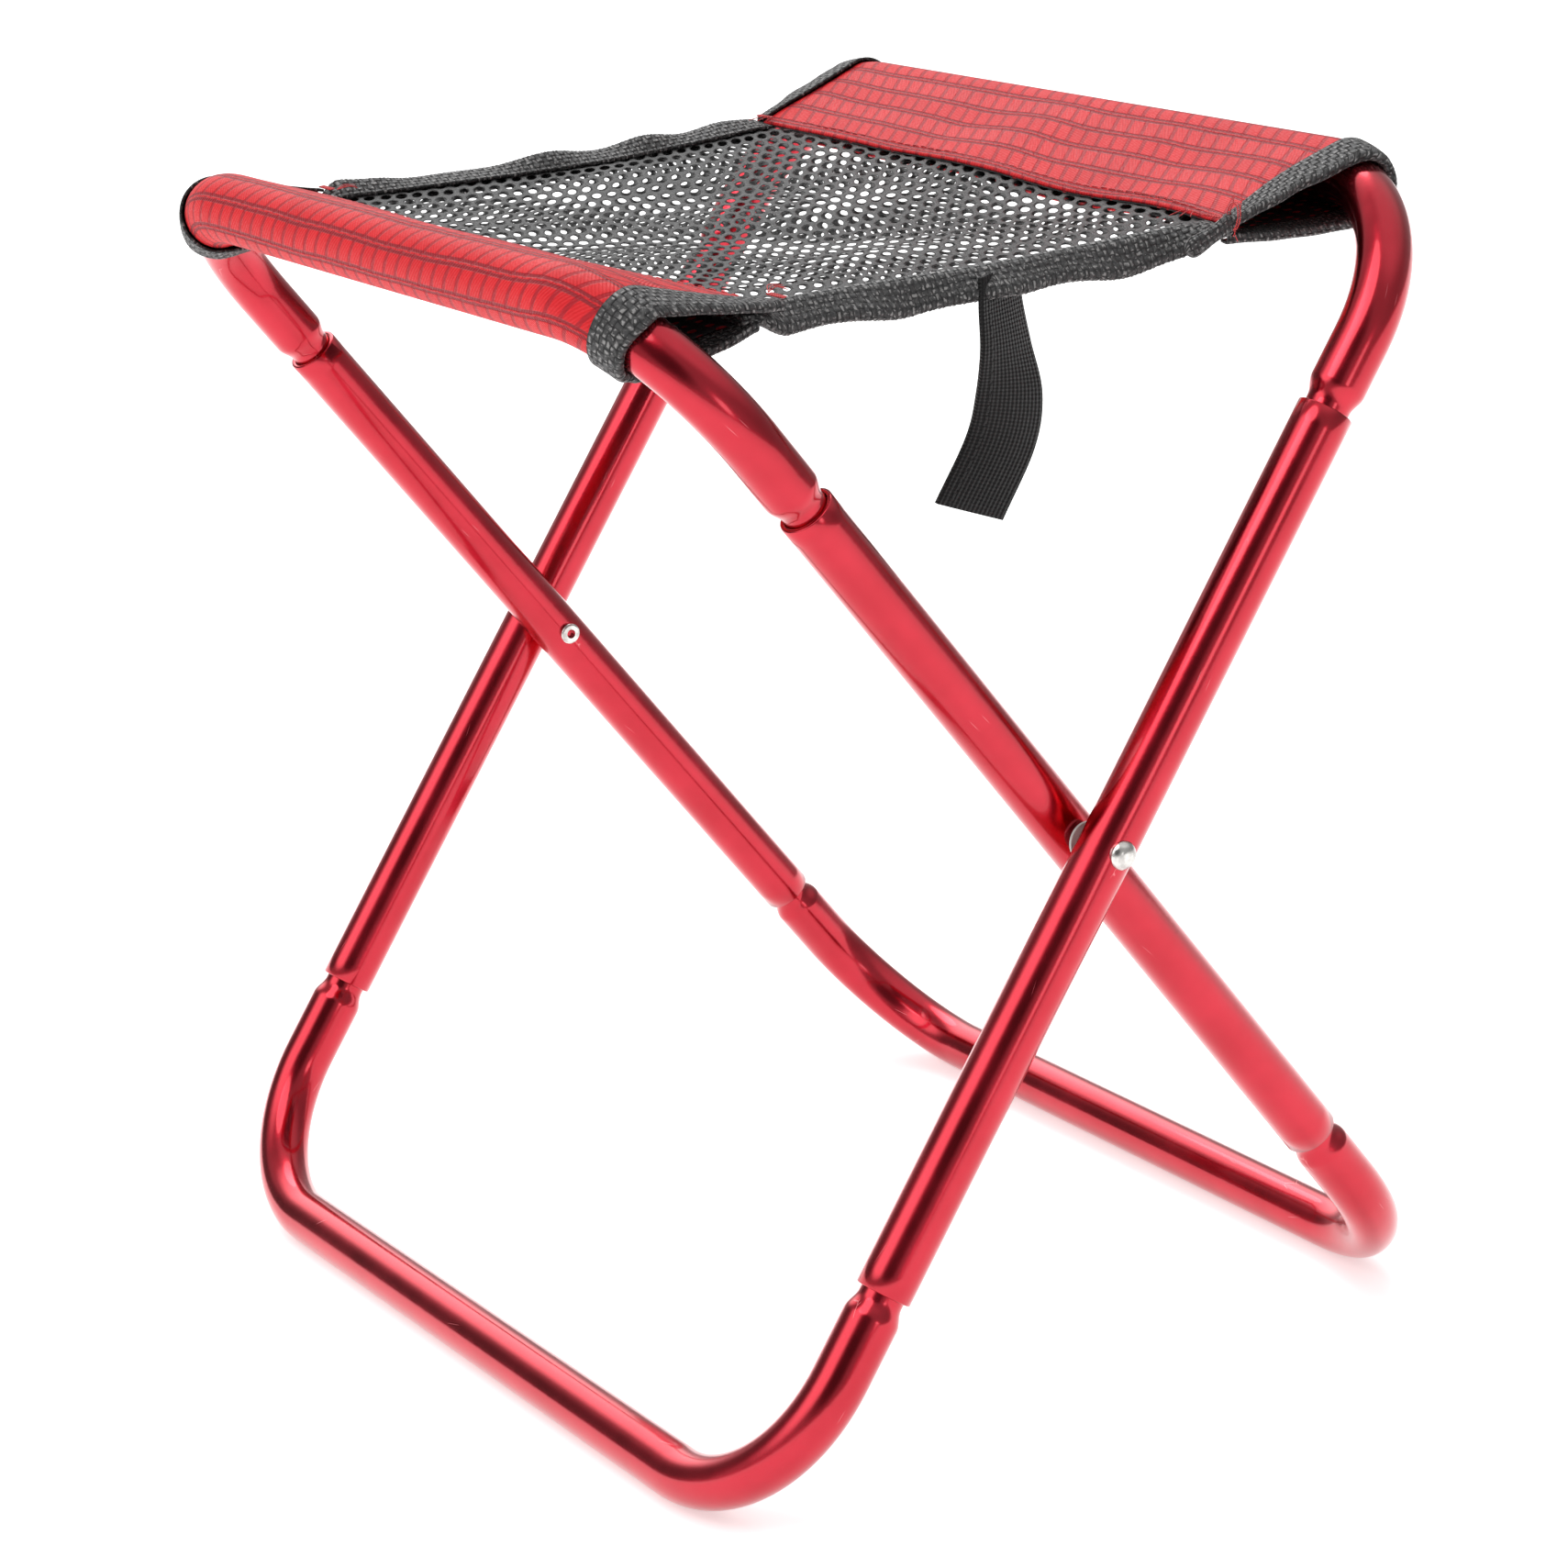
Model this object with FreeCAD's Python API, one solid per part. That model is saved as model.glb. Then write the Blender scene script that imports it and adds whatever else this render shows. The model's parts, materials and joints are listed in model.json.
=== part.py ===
import FreeCAD, Part
import math
import os
from FreeCAD import Vector

# Folding camp stool, millimetres.
# X is the way the legs spread, Y runs along the rails, Z is up, the floor is Z = 0.
# The outer frame has its seat rail at +X, the inner frame has its seat rail at -X.

# Frame tubes
TUBE_R = 6.5
BORE_R = 5.3
LEAN_DEG = 36.4            # leg angle from upright when the seat is open
SEAT_REACH = 163.0         # pivot axis to the centre of a seat rail
FOOT_REACH = 166.5         # pivot axis to the centre of a foot rail
OUTER_LEG_UP = 108.5       # pivot axis to the ends of the straight leg tubes
OUTER_LEG_DOWN = 109.0
INNER_LEG_UP = 107.0
INNER_LEG_DOWN = 111.0
BEND_R = 37.0              # centreline radius of the corner bends
OUTER_HALF = 129.0         # leg plane of the outer frame from the middle
INNER_HALF = 115.0         # leg plane of the inner frame from the middle

# Swaged ends that slide into the leg tubes
NECK_R = 5.2
NECK_BORE_R = 4.2
NECK_INSIDE = 15.0         # length hidden in the leg tube
NECK_SHOWN = 1.2           # bare neck outside the leg tube
SHOULDER = 5.0             # length over which the tube narrows to the neck
SHOULDER_STEPS = 8         # spans of the shoulder's curve
RIM_CHAMFER = 0.25         # softened ends of the leg tubes

# Pivot rivets
SHANK_R = 2.0
FIXED_HOLE_R = 2.02
TURNING_HOLE_R = 2.05
HEAD_R = 3.3
HEAD_H = 1.7               # dome above the crown of the tube
DOME_OUT = 0.72            # a point on the dome, as a share of its radius
DOME_UP = 0.68             # and of its height
TAIL_R = 2.7
TAIL_H = 1.1
TAIL_HOLE_R = 1.2
TAIL_HOLE_DEEP = 4.0
TAIL_GAP = 0.1             # rivet tail to the inner leg, which turns past it
HEAD_WRAP = 1.0            # how far the head reaches down the sides of its tube
SEAT_GAP = 0.03            # rivet head to its own leg tube
WASHER_R = 4.6
WASHER_HOLE_R = 2.1
WASHER_T = 0.7

# Seat cloth
CLOTH_T = 0.7
SEAT_HALF = 102.0          # half the cloth's length along the rails
SEAM_X = 64.0              # where each sleeve is stitched closed
SEAM_DROP = 5.4            # seam below the centre of the seat rails
SAG = 4.0                  # middle of the mesh below the seams
SLEEVE_R = 7.3             # inside radius of a sleeve round its rail
HEM = 8.0                  # binding width, along Y at the edges
BINDING_T = 0.8            # binding on each side of the cloth
GAP = 0.08                 # between sewn pieces
LAYER_GAP = 0.5            # between the two mesh layers
SEAM_SPREAD = 0.4          # extra half height of a sleeve at its seam
HOLLOW_SPREAD = 0.15       # half height of the hollow at the seam
HOLLOW_PAST = 2.0          # the hollow is cut this far past the seam
CUT_OVER = 0.5             # and this far past both ends of the sleeve
BEND_STOP = 6.0            # spacing of the sleeve's sections in a bend
SHEET_SPANS = 8            # spans of the curve of a sagging sheet

# Stitches along the sleeves' seams
STITCH = (0.5, 3.0, 0.3)   # width, length and height of one stitch
STITCH_PITCH = 4.0
STITCH_INSET = 3.0         # first stitch from the binding
STITCH_IN = 2.2            # from the seam line towards the rail
STITCH_UP = 2.35           # above the seam line

# Bar tacks at the seat's corners
TACK = (1.2, 7.0, 0.5)
TACK_IN = 0.9              # from the seam line towards the middle
TACK_UP = 2.3              # above the seam line

# Loose end of the binding at one front corner
TAIL_PIECE = (11.0, 1.2, 6.5)
TAIL_REACH = 14.0          # end of the tail from the seam line
TAIL_AHEAD = 1.6           # in front of the cloth's edge
TAIL_DROP = 4.0            # bottom of the tail below the seam line
TAIL_ROUND = 0.8           # rounding of the tail's corners

# Strap under the front edge
STRAP_X = 2.0
STRAP_W = 20.0
STRAP_T = 1.2
STRAP_LONG = 60.0
STRAP_Y = 93.0             # top of the strap from the middle
STRAP_CURL = 5.0           # how far its middle swings forward
STRAP_UNDER = 2.2          # top of the strap below the mesh layers
STRAP_SPANS = 6

lean = math.radians(LEAN_DEG)
pivot_z = FOOT_REACH * math.cos(lean) + TUBE_R
rail_x = SEAT_REACH * math.sin(lean)
rail_z = pivot_z + SEAT_REACH * math.cos(lean)
seam_z = rail_z - SEAM_DROP
UP = Vector(0, 0, 1)
ACROSS = Vector(0, 1, 0)
OUT = Vector(1, 0, 0)

os.makedirs("parts", exist_ok=True)


def save(shape, node):
    shape.exportStep("parts/" + node + ".step")


def placed(shape, angle_deg):
    """Turns a piece drawn along +Z about the pivot and lifts it to the pivot."""
    out = shape.copy()
    out.rotate(Vector(0, 0, 0), ACROSS, angle_deg)
    out.translate(Vector(0, 0, pivot_z))
    return out


def bent_bar(radius, half, reach, leg_end):
    """Both bends, the rail between them and the short legs down to the shoulders."""
    start = leg_end + NECK_SHOWN + SHOULDER
    bend_z = reach - BEND_R
    pieces = [Part.makeCylinder(radius, 2 * (half - BEND_R), Vector(0, BEND_R - half, reach), ACROSS)]
    for side in (-1, 1):
        foot = Vector(0, side * half, start)
        pieces.append(Part.makeCylinder(radius, bend_z - start, foot, UP))
        disc = Part.Face(Part.Wire(Part.makeCircle(radius, Vector(0, side * half, bend_z), UP)))
        centre = Vector(0, side * (half - BEND_R), bend_z)
        pieces.append(disc.revolve(centre, OUT * side, 90))
    bar = pieces[0].fuse(pieces[1:])
    return bar.removeSplitter()


def neck(tube_r, neck_r, half, side, leg_end):
    """Solid of revolution for one swaged end, round its leg axis."""
    low = leg_end - NECK_INSIDE
    narrow = leg_end + NECK_SHOWN
    curve = []
    for step in range(SHOULDER_STEPS + 1):
        t = step / SHOULDER_STEPS
        radius = neck_r + (tube_r - neck_r) * (0.5 - 0.5 * math.cos(math.pi * t))
        curve.append(Vector(radius, 0, narrow + SHOULDER * t))
    shoulder = Part.BSplineCurve()
    shoulder.interpolate(Points=curve, InitialTangent=UP, FinalTangent=UP)
    edges = [
        Part.makeLine(Vector(0, 0, low), Vector(neck_r, 0, low)),
        Part.makeLine(Vector(neck_r, 0, low), curve[0]),
        shoulder.toShape(),
        Part.makeLine(curve[-1], Vector(0, 0, narrow + SHOULDER)),
        Part.makeLine(Vector(0, 0, narrow + SHOULDER), Vector(0, 0, low)),
    ]
    solid = Part.Face(Part.Wire(edges)).revolve(Vector(0, 0, 0), UP, 360)
    solid.translate(Vector(0, side * half, 0))
    return solid


def rail(half, reach, leg_end):
    """U-shaped tube with a swaged neck at each end."""
    outside = bent_bar(TUBE_R, half, reach, leg_end)
    inside = bent_bar(BORE_R, half, reach, leg_end)
    for side in (-1, 1):
        outside = outside.fuse(neck(TUBE_R, NECK_R, half, side, leg_end))
        inside = inside.fuse(neck(BORE_R, NECK_BORE_R, half, side, leg_end))
    return outside.cut(inside).removeSplitter()


def leg(half, side, hole_r, up, down):
    """Straight leg tube with its rivet hole and softened ends."""
    low = Vector(0, side * half, -down)
    outside = Part.makeCylinder(TUBE_R, up + down, low, UP)
    rims = [e for e in outside.Edges if isinstance(e.Curve, Part.Circle)]
    outside = outside.makeChamfer(RIM_CHAMFER, rims)
    tube = outside.cut(Part.makeCylinder(BORE_R, up + down, low, UP))
    hole = Part.makeCylinder(hole_r, 4 * TUBE_R, Vector(0, side * half - 2 * TUBE_R, 0), ACROSS)
    return tube.cut(hole)


def rivet(side):
    """Domed head outside the outer leg, shank through both legs, rolled tail inside."""
    head_y = OUTER_HALF + TUBE_R + SEAT_GAP
    brim_y = head_y - HEAD_WRAP
    tail_y = INNER_HALF - TUBE_R - TAIL_GAP
    end_y = tail_y - TAIL_H
    roll = TAIL_H / 2

    def at(radius, y):
        return Vector(radius, y, 0)

    dome_mid = at(HEAD_R * DOME_OUT, head_y + HEAD_H * DOME_UP)
    edges = [
        Part.makeLine(at(TAIL_HOLE_R, end_y), at(TAIL_R - roll, end_y)),
        Part.Arc(at(TAIL_R - roll, end_y), at(TAIL_R, end_y + roll), at(TAIL_R - roll, tail_y)).toShape(),
        Part.makeLine(at(TAIL_R - roll, tail_y), at(SHANK_R, tail_y)),
        Part.makeLine(at(SHANK_R, tail_y), at(SHANK_R, brim_y)),
        Part.makeLine(at(SHANK_R, brim_y), at(HEAD_R, brim_y)),
        Part.makeLine(at(HEAD_R, brim_y), at(HEAD_R, head_y)),
        Part.Arc(at(HEAD_R, head_y), dome_mid, at(0, head_y + HEAD_H)).toShape(),
        Part.makeLine(at(0, head_y + HEAD_H), at(0, end_y + TAIL_HOLE_DEEP)),
        Part.makeLine(at(0, end_y + TAIL_HOLE_DEEP), at(TAIL_HOLE_R, end_y + TAIL_HOLE_DEEP)),
        Part.makeLine(at(TAIL_HOLE_R, end_y + TAIL_HOLE_DEEP), at(TAIL_HOLE_R, end_y)),
    ]
    body = Part.Face(Part.Wire(edges)).revolve(Vector(0, 0, 0), ACROSS, 360)
    span = 2 * TUBE_R
    tube = Part.makeCylinder(TUBE_R + SEAT_GAP, 2 * span, Vector(0, OUTER_HALF, -span), UP)
    tube = tube.cut(Part.makeCylinder(SHANK_R, 2 * span, Vector(0, OUTER_HALF - span, 0), ACROSS))
    body = body.cut(tube)
    if side < 0:
        body = body.mirror(Vector(0, 0, 0), ACROSS)
    return placed(body, LEAN_DEG)


def washer(side):
    """Thin washer between the two leg tubes at the pivot."""
    middle = side * (OUTER_HALF + INNER_HALF) / 2
    at = Vector(0, middle - WASHER_T / 2, pivot_z)
    disc = Part.makeCylinder(WASHER_R, WASHER_T, at, ACROSS)
    return disc.cut(Part.makeCylinder(WASHER_HOLE_R, WASHER_T, at, ACROSS))


def past_bend(half, y):
    """How far this Y lies beyond the start of the rail's bend."""
    return max(0.0, abs(y) - (half - BEND_R))


def rail_drop(half, y):
    """How far the rail's centre has bent towards the pivot at this Y."""
    return BEND_R - math.sqrt(BEND_R ** 2 - past_bend(half, y) ** 2)


def sleeve_radius(half, y):
    """Inside radius of the sleeve, wider where the rail slants through it."""
    slant = math.asin(past_bend(half, y) / BEND_R)
    return SLEEVE_R / math.cos(slant)


def teardrop(side, half, y, grow, seam_grow, seam_x):
    """Sleeve section at one Y: round the rail on the outside, flat to the seam."""
    drop = rail_drop(half, y)
    cx = side * (rail_x - drop * math.sin(lean))
    cz = rail_z - drop * math.cos(lean)
    radius = sleeve_radius(half, y) + grow
    sx = side * seam_x
    top = Vector(sx, y, seam_z + seam_grow)
    low = Vector(sx, y, seam_z - seam_grow)
    points = []
    for tip, way in ((top, 1), (low, -1)):
        dx = cx - tip.x
        dz = cz - tip.z
        far = math.hypot(dx, dz)
        turn = math.atan2(dz, dx) + side * way * math.asin(radius / far)
        run = math.sqrt(far ** 2 - radius ** 2)
        points.append(Vector(tip.x + run * math.cos(turn), y, tip.z + run * math.sin(turn)))
    middle = Vector(cx + side * radius, y, cz)
    edges = [
        Part.makeLine(low, top),
        Part.makeLine(top, points[0]),
        Part.Arc(points[0], middle, points[1]).toShape(),
        Part.makeLine(points[1], low),
    ]
    return Part.Wire(edges)


def sleeve_body(side, half, y0, y1, grow, seam_grow, seam_x):
    """Lofted teardrop that follows the rail into its bends."""
    bend = half - BEND_R
    steps = [bend + BEND_STOP * k for k in range(4)]
    inside = [-y for y in reversed(steps)] + steps
    near = BEND_STOP / 6
    stops = [y0] + [y for y in inside if y0 + near < y < y1 - near] + [y1]
    wires = [teardrop(side, half, y, grow, seam_grow, seam_x) for y in stops]
    return Part.makeLoft(wires, True, True)


def sleeve(side, half, y0, y1, inner, outer, seam_x):
    """Closed cloth tube between an inside and an outside growth."""
    shell = sleeve_body(side, half, y0, y1, outer, outer + SEAM_SPREAD, seam_x)
    hollow = sleeve_body(side, half, y0 - CUT_OVER, y1 + CUT_OVER, inner, inner + HOLLOW_SPREAD,
                         seam_x + HOLLOW_PAST)
    return shell.cut(hollow)


def mesh_height(x):
    """Height of the seat's mid surface."""
    return seam_z - SAG * (1 - (x / SEAM_X) ** 2)


def sagging_sheet(x_half, y0, y1, offset, thick):
    """Curved sheet between the seams, offset up or down from the mid surface."""
    curves = []
    for level in (offset - thick / 2, offset + thick / 2):
        points = []
        for step in range(SHEET_SPANS + 1):
            x = -x_half + 2 * x_half * step / SHEET_SPANS
            points.append(Vector(x, y0, mesh_height(x) + level))
        curve = Part.BSplineCurve()
        curve.interpolate(points)
        curves.append((points, curve.toShape()))
    (low, low_edge), (high, high_edge) = curves
    left = Part.makeLine(low[0], high[0])
    right = Part.makeLine(low[-1], high[-1])
    face = Part.Face(Part.Wire([low_edge, right, high_edge, left]))
    return face.extrude(Vector(0, y1 - y0, 0))


def strap():
    """Webbing that hangs from the front edge and curls a little forward."""
    top_z = mesh_height(STRAP_X) - LAYER_GAP - STRAP_UNDER
    lean_out = []
    for level in (0.0, STRAP_T):
        points = []
        for step in range(STRAP_SPANS + 1):
            t = step / STRAP_SPANS
            y = -STRAP_Y - STRAP_CURL * math.sin(math.pi * t) + level
            points.append(Vector(STRAP_X - STRAP_W / 2, y, top_z - STRAP_LONG * t))
        curve = Part.BSplineCurve()
        curve.interpolate(points)
        lean_out.append((points, curve.toShape()))
    (front, front_edge), (back, back_edge) = lean_out
    face = Part.Face(Part.Wire([
        front_edge,
        Part.makeLine(front[-1], back[-1]),
        back_edge,
        Part.makeLine(back[0], front[0]),
    ]))
    return face.extrude(Vector(STRAP_W, 0, 0))


def stitches(side):
    """Row of stitches that closes a sleeve, as separate short stitches."""
    rows = []
    wide, long, high = STITCH
    y = -SEAT_HALF + HEM + STITCH_INSET
    while y + long < SEAT_HALF - HEM - CUT_OVER:
        x = side * (SEAM_X + STITCH_IN) - wide / 2
        rows.append(Part.makeBox(wide, long, high, Vector(x, y, seam_z + STITCH_UP)))
        y += STITCH_PITCH
    return Part.makeCompound(rows)


def bar_tacks():
    """Tight stitch blocks where the mouth bindings cross the edge bindings."""
    tacks = []
    wide, long, high = TACK
    for side in (-1, 1):
        for end in (-1, 1):
            x = side * (SEAM_X - TACK_IN) - wide / 2
            y = end * (SEAT_HALF - HEM / 2) - long / 2
            tacks.append(Part.makeBox(wide, long, high, Vector(x, y, seam_z + TACK_UP)))
    return Part.makeCompound(tacks)


def binding_tail():
    """Loose end of the mouth binding past the front corner of the outer sleeve."""
    low = Vector(SEAM_X - TAIL_REACH, -SEAT_HALF - TAIL_AHEAD, seam_z - TAIL_DROP)
    block = Part.makeBox(*TAIL_PIECE, low)
    rims = [e for e in block.Edges if abs(e.tangentAt(e.FirstParameter).dot(ACROSS)) > 0.9]
    return block.makeFillet(TAIL_ROUND, rims)


# Metal frames
frames = (
    ("outer", OUTER_HALF, LEAN_DEG, OUTER_LEG_UP, OUTER_LEG_DOWN, FIXED_HOLE_R),
    ("inner", INNER_HALF, -LEAN_DEG, INNER_LEG_UP, INNER_LEG_DOWN, TURNING_HOLE_R),
)
for name, half, angle, up, down, hole_r in frames:
    save(placed(rail(half, SEAT_REACH, up), angle), name + "_seat_rail")
    save(placed(rail(half, FOOT_REACH, down), angle + 180), name + "_foot_rail")
    save(placed(leg(half, -1, hole_r, up, down), angle), name + "_leg_front")
    save(placed(leg(half, 1, hole_r, up, down), angle), name + "_leg_rear")

# Pivots
for word, side in (("front", -1), ("rear", 1)):
    save(rivet(side), "pivot_rivet_" + word)
    save(washer(side), "pivot_washer_" + word)

# Sleeves and the bindings round their mouths
inner_edge = SEAT_HALF - HEM
for name, side, half in (("outer", 1, OUTER_HALF), ("inner", -1, INNER_HALF)):
    red = sleeve(side, half, -inner_edge + GAP, inner_edge - GAP, 0.0, CLOTH_T, SEAM_X)
    save(red, "seat_sleeve_" + name)
    grown = CLOTH_T + BINDING_T
    front = sleeve(side, half, -SEAT_HALF, -inner_edge, 0.0, grown, SEAM_X)
    rear = sleeve(side, half, inner_edge, SEAT_HALF, 0.0, grown, SEAM_X)
    save(front, "mouth_binding_" + name + "_front")
    save(rear, "mouth_binding_" + name + "_rear")
    save(stitches(side), "seam_stitches_" + name)

# Mesh panels between the sleeves and the bindings along their free edges
panel_half = SEAM_X - GAP
layer = LAYER_GAP / 2 + CLOTH_T / 2
edge = inner_edge - GAP
save(sagging_sheet(panel_half, -edge, edge, layer, CLOTH_T), "seat_mesh_top")
save(sagging_sheet(panel_half, -edge, edge, -layer, CLOTH_T), "seat_mesh_bottom")
tape = LAYER_GAP + 2 * CLOTH_T + 2 * BINDING_T
save(sagging_sheet(panel_half, -SEAT_HALF, -inner_edge, 0.0, tape), "edge_binding_front")
save(sagging_sheet(panel_half, inner_edge, SEAT_HALF, 0.0, tape), "edge_binding_rear")

# Small sewn parts
save(strap(), "closing_strap")
save(bar_tacks(), "corner_bar_tacks")
save(binding_tail(), "binding_tail")
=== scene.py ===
import json
from math import acos, atan2, copysign, cos, exp, hypot, pi, radians, sin, sqrt

import bpy
import numpy as np
from mathutils import Matrix, Vector


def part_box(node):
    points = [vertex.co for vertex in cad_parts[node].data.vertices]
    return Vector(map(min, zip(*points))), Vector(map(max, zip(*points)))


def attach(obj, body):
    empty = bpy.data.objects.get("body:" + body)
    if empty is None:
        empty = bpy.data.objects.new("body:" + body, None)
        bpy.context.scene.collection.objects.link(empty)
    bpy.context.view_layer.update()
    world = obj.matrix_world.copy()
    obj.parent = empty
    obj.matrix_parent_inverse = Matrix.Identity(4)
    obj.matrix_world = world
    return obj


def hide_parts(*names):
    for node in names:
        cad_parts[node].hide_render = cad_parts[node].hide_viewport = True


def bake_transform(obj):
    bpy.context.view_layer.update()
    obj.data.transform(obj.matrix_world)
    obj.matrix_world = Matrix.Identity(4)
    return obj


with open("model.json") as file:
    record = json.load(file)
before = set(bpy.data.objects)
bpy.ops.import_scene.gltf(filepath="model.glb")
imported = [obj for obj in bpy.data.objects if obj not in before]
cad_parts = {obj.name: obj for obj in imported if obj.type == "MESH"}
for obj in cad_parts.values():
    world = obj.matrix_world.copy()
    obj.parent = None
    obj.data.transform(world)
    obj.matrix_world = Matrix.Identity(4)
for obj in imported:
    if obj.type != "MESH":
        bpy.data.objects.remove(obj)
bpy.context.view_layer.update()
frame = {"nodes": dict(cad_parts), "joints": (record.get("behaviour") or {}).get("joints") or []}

# Folding camp stool. Metres. X is the way the legs spread, Y runs along the rails.
# The outer frame has its seat rail at +X, the inner frame has its seat rail at -X.

link = bpy.context.scene.collection.objects.link
MM = 0.001
UV_MAP = "UVMap"

# Sizes that part.py has too
BEND_R = 37 * MM           # centreline radius of the corner bends
NECK_R = 5.2 * MM
NECK_INSIDE = 15 * MM      # length of neck hidden in the leg tube
NECK_SHOWN = 1.2 * MM
SHOULDER = 5 * MM
WALL = 1.2 * MM
SEAM_X = 64 * MM           # the sleeves' sewn edges
SEAT_HALF = 98 * MM        # half the cloth's length along the rails
HEM = 8 * MM               # width of the folded tapes
SEAM_DROP = 5.4 * MM       # seam below the centre of the seat rails
SLEEVE_R = 7.3 * MM        # inside radius of a sleeve round its rail

# Camera: where the photographer stood, as seen from the middle of the pivot axis
VIEW_AZIMUTH = -31.334     # degrees, as in direction()
VIEW_ELEVATION = 17.800
VIEW_ROLL = radians(-3.6826)
VIEW_DISTANCE = 1057.19 * MM
VIEW_RIGHT = -2.4313 * MM
VIEW_UP = -14.9968 * MM
VIEW_LENS = 99.73
VIEW_SENSOR = 36.0
VIEW_NEAR = 0.05
VIEW_FAR = 50.0

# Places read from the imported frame
pivot = Vector(frame["joints"][0]["pos_m"])
outer_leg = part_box("outer_leg_front")
inner_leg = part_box("inner_leg_front")
outer_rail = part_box("outer_seat_rail")
outer_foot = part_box("outer_foot_rail")
TUBE_R = (outer_leg[1].y - outer_leg[0].y) / 2
OUTER_HALF = -(outer_leg[1].y + outer_leg[0].y) / 2
INNER_HALF = -(inner_leg[1].y + inner_leg[0].y) / 2
RAIL_X = outer_rail[1].x - TUBE_R
RAIL_Z = outer_rail[1].z - TUBE_R
FOOT_X = outer_foot[0].x + TUBE_R
FOOT_Z = outer_foot[0].z + TUBE_R
SEAM_Z = RAIL_Z - SEAM_DROP
SEAT_REACH = hypot(RAIL_X, RAIL_Z - pivot.z)
FOOT_REACH = hypot(FOOT_X, FOOT_Z - pivot.z)
LEAN = atan2(RAIL_X, RAIL_Z - pivot.z)
INNER_EDGE = SEAT_HALF - HEM


def leg_ends(box):
    """Distances from the pivot axis to the upper and lower ends of a straight leg tube."""
    spread = TUBE_R * sin(LEAN)
    up = (box[1].z - pivot.z - spread) / cos(LEAN)
    down = (pivot.z - box[0].z - spread) / cos(LEAN)
    return up, down


# ---------------------------------------------------------------- mesh helpers

class Builder:
    """Collects vertices, faces and corner UVs for one piece."""

    def __init__(self):
        self.verts = []
        self.faces = []
        self.uvs = []

    def grid(self, points, u, v, wrap_u=False, wrap_v=False, flip=False):
        """Faces over a grid of points [i, j]; u goes with i and v with j."""
        rows, columns = points.shape[:2]
        base = len(self.verts)
        self.verts.extend(points.reshape(-1, 3))
        for i in range(rows if wrap_u else rows - 1):
            for j in range(columns if wrap_v else columns - 1):
                i2 = i + 1
                j2 = j + 1
                corners = [(i, j), (i2, j), (i2, j2), (i, j2)]
                if flip:
                    corners.reverse()
                self.faces.append([base + (a % rows) * columns + b % columns for a, b in corners])
                self.uvs.extend((u[a], v[b]) for a, b in corners)
        return base

    def fan(self, ring, centre, uv, flip=False):
        """Closes a ring of vertex numbers round a centre point."""
        middle = len(self.verts)
        self.verts.append(centre)
        count = len(ring)
        for k in range(count):
            face = [ring[k], ring[(k + 1) % count], middle]
            if flip:
                face.reverse()
            self.faces.append(face)
            self.uvs.extend([uv] * 3)

    def close_ends(self, base, rows, columns, centres, length, flip):
        """Closes the first and last columns of a tube's grid, which are rings."""
        ends = ((0, centres[0], 0.0, flip), (columns - 1, centres[1], length, not flip))
        for column, centre, v, turned in ends:
            self.fan([base + k * columns + column for k in range(rows)], centre, (0, v), turned)

    def piece(self, name, material, slot):
        """The finished smooth mesh, with its UVs in metres."""
        mesh = bpy.data.meshes.new(name)
        mesh.from_pydata([tuple(v) for v in self.verts], [], self.faces)
        layer = mesh.uv_layers.new(name=UV_MAP)
        layer.data.foreach_set("uv", np.asarray(self.uvs, np.float32).reshape(-1))
        mesh.polygons.foreach_set("use_smooth", [True] * len(mesh.polygons))
        mesh.materials.append(material)
        mesh.update()
        piece = bpy.data.objects.new(name, mesh)
        link(piece)
        return piece


def normals_of(points):
    """Unit normals of a grid of points, from its two directions."""
    along_i = np.gradient(points, axis=0)
    along_j = np.gradient(points, axis=1)
    normal = np.cross(along_i, along_j)
    length = np.linalg.norm(normal, axis=2, keepdims=True)
    return normal / np.maximum(length, 1e-12)


def distances(line):
    """Running length along a line of points."""
    steps = np.linalg.norm(np.diff(line, axis=0), axis=1)
    return np.concatenate([[0.0], np.cumsum(steps)])


def add_sheet(builder, points, thick, u, v):
    """A sheet of even thickness round a grid of mid-surface points, closed all round."""
    half = normals_of(points) * thick / 2
    rows, columns = points.shape[:2]
    top = builder.grid(points + half, u, v)
    low = builder.grid(points - half, u, v, flip=True)
    around = [(i, 0) for i in range(rows)]
    around += [(rows - 1, j) for j in range(1, columns)]
    around += [(i, columns - 1) for i in range(rows - 2, -1, -1)]
    around += [(0, j) for j in range(columns - 2, 0, -1)]
    for k, (i, j) in enumerate(around):
        i2, j2 = around[(k + 1) % len(around)]
        a = i * columns + j
        b = i2 * columns + j2
        builder.faces.append([top + b, top + a, low + a, low + b])
        builder.uvs.extend([(u[i2], v[j2]), (u[i], v[j]), (u[i], v[j]), (u[i2], v[j2])])


def smooth_line(points, per_span):
    """A smooth curve through a few points (Catmull-Rom)."""
    p = np.asarray(points, float)
    p = np.vstack([2 * p[0] - p[1], p, 2 * p[-1] - p[-2]])
    out = []
    for k in range(1, len(p) - 2):
        for t in np.linspace(0, 1, per_span, endpoint=False):
            a, b, c, d = p[k - 1], p[k], p[k + 1], p[k + 2]
            out.append(0.5 * (2 * b + (c - a) * t + (2 * a - 5 * b + 4 * c - d) * t * t
                              + (3 * b - a - 3 * c + d) * t ** 3))
    out.append(p[-2])
    return np.array(out)


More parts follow.
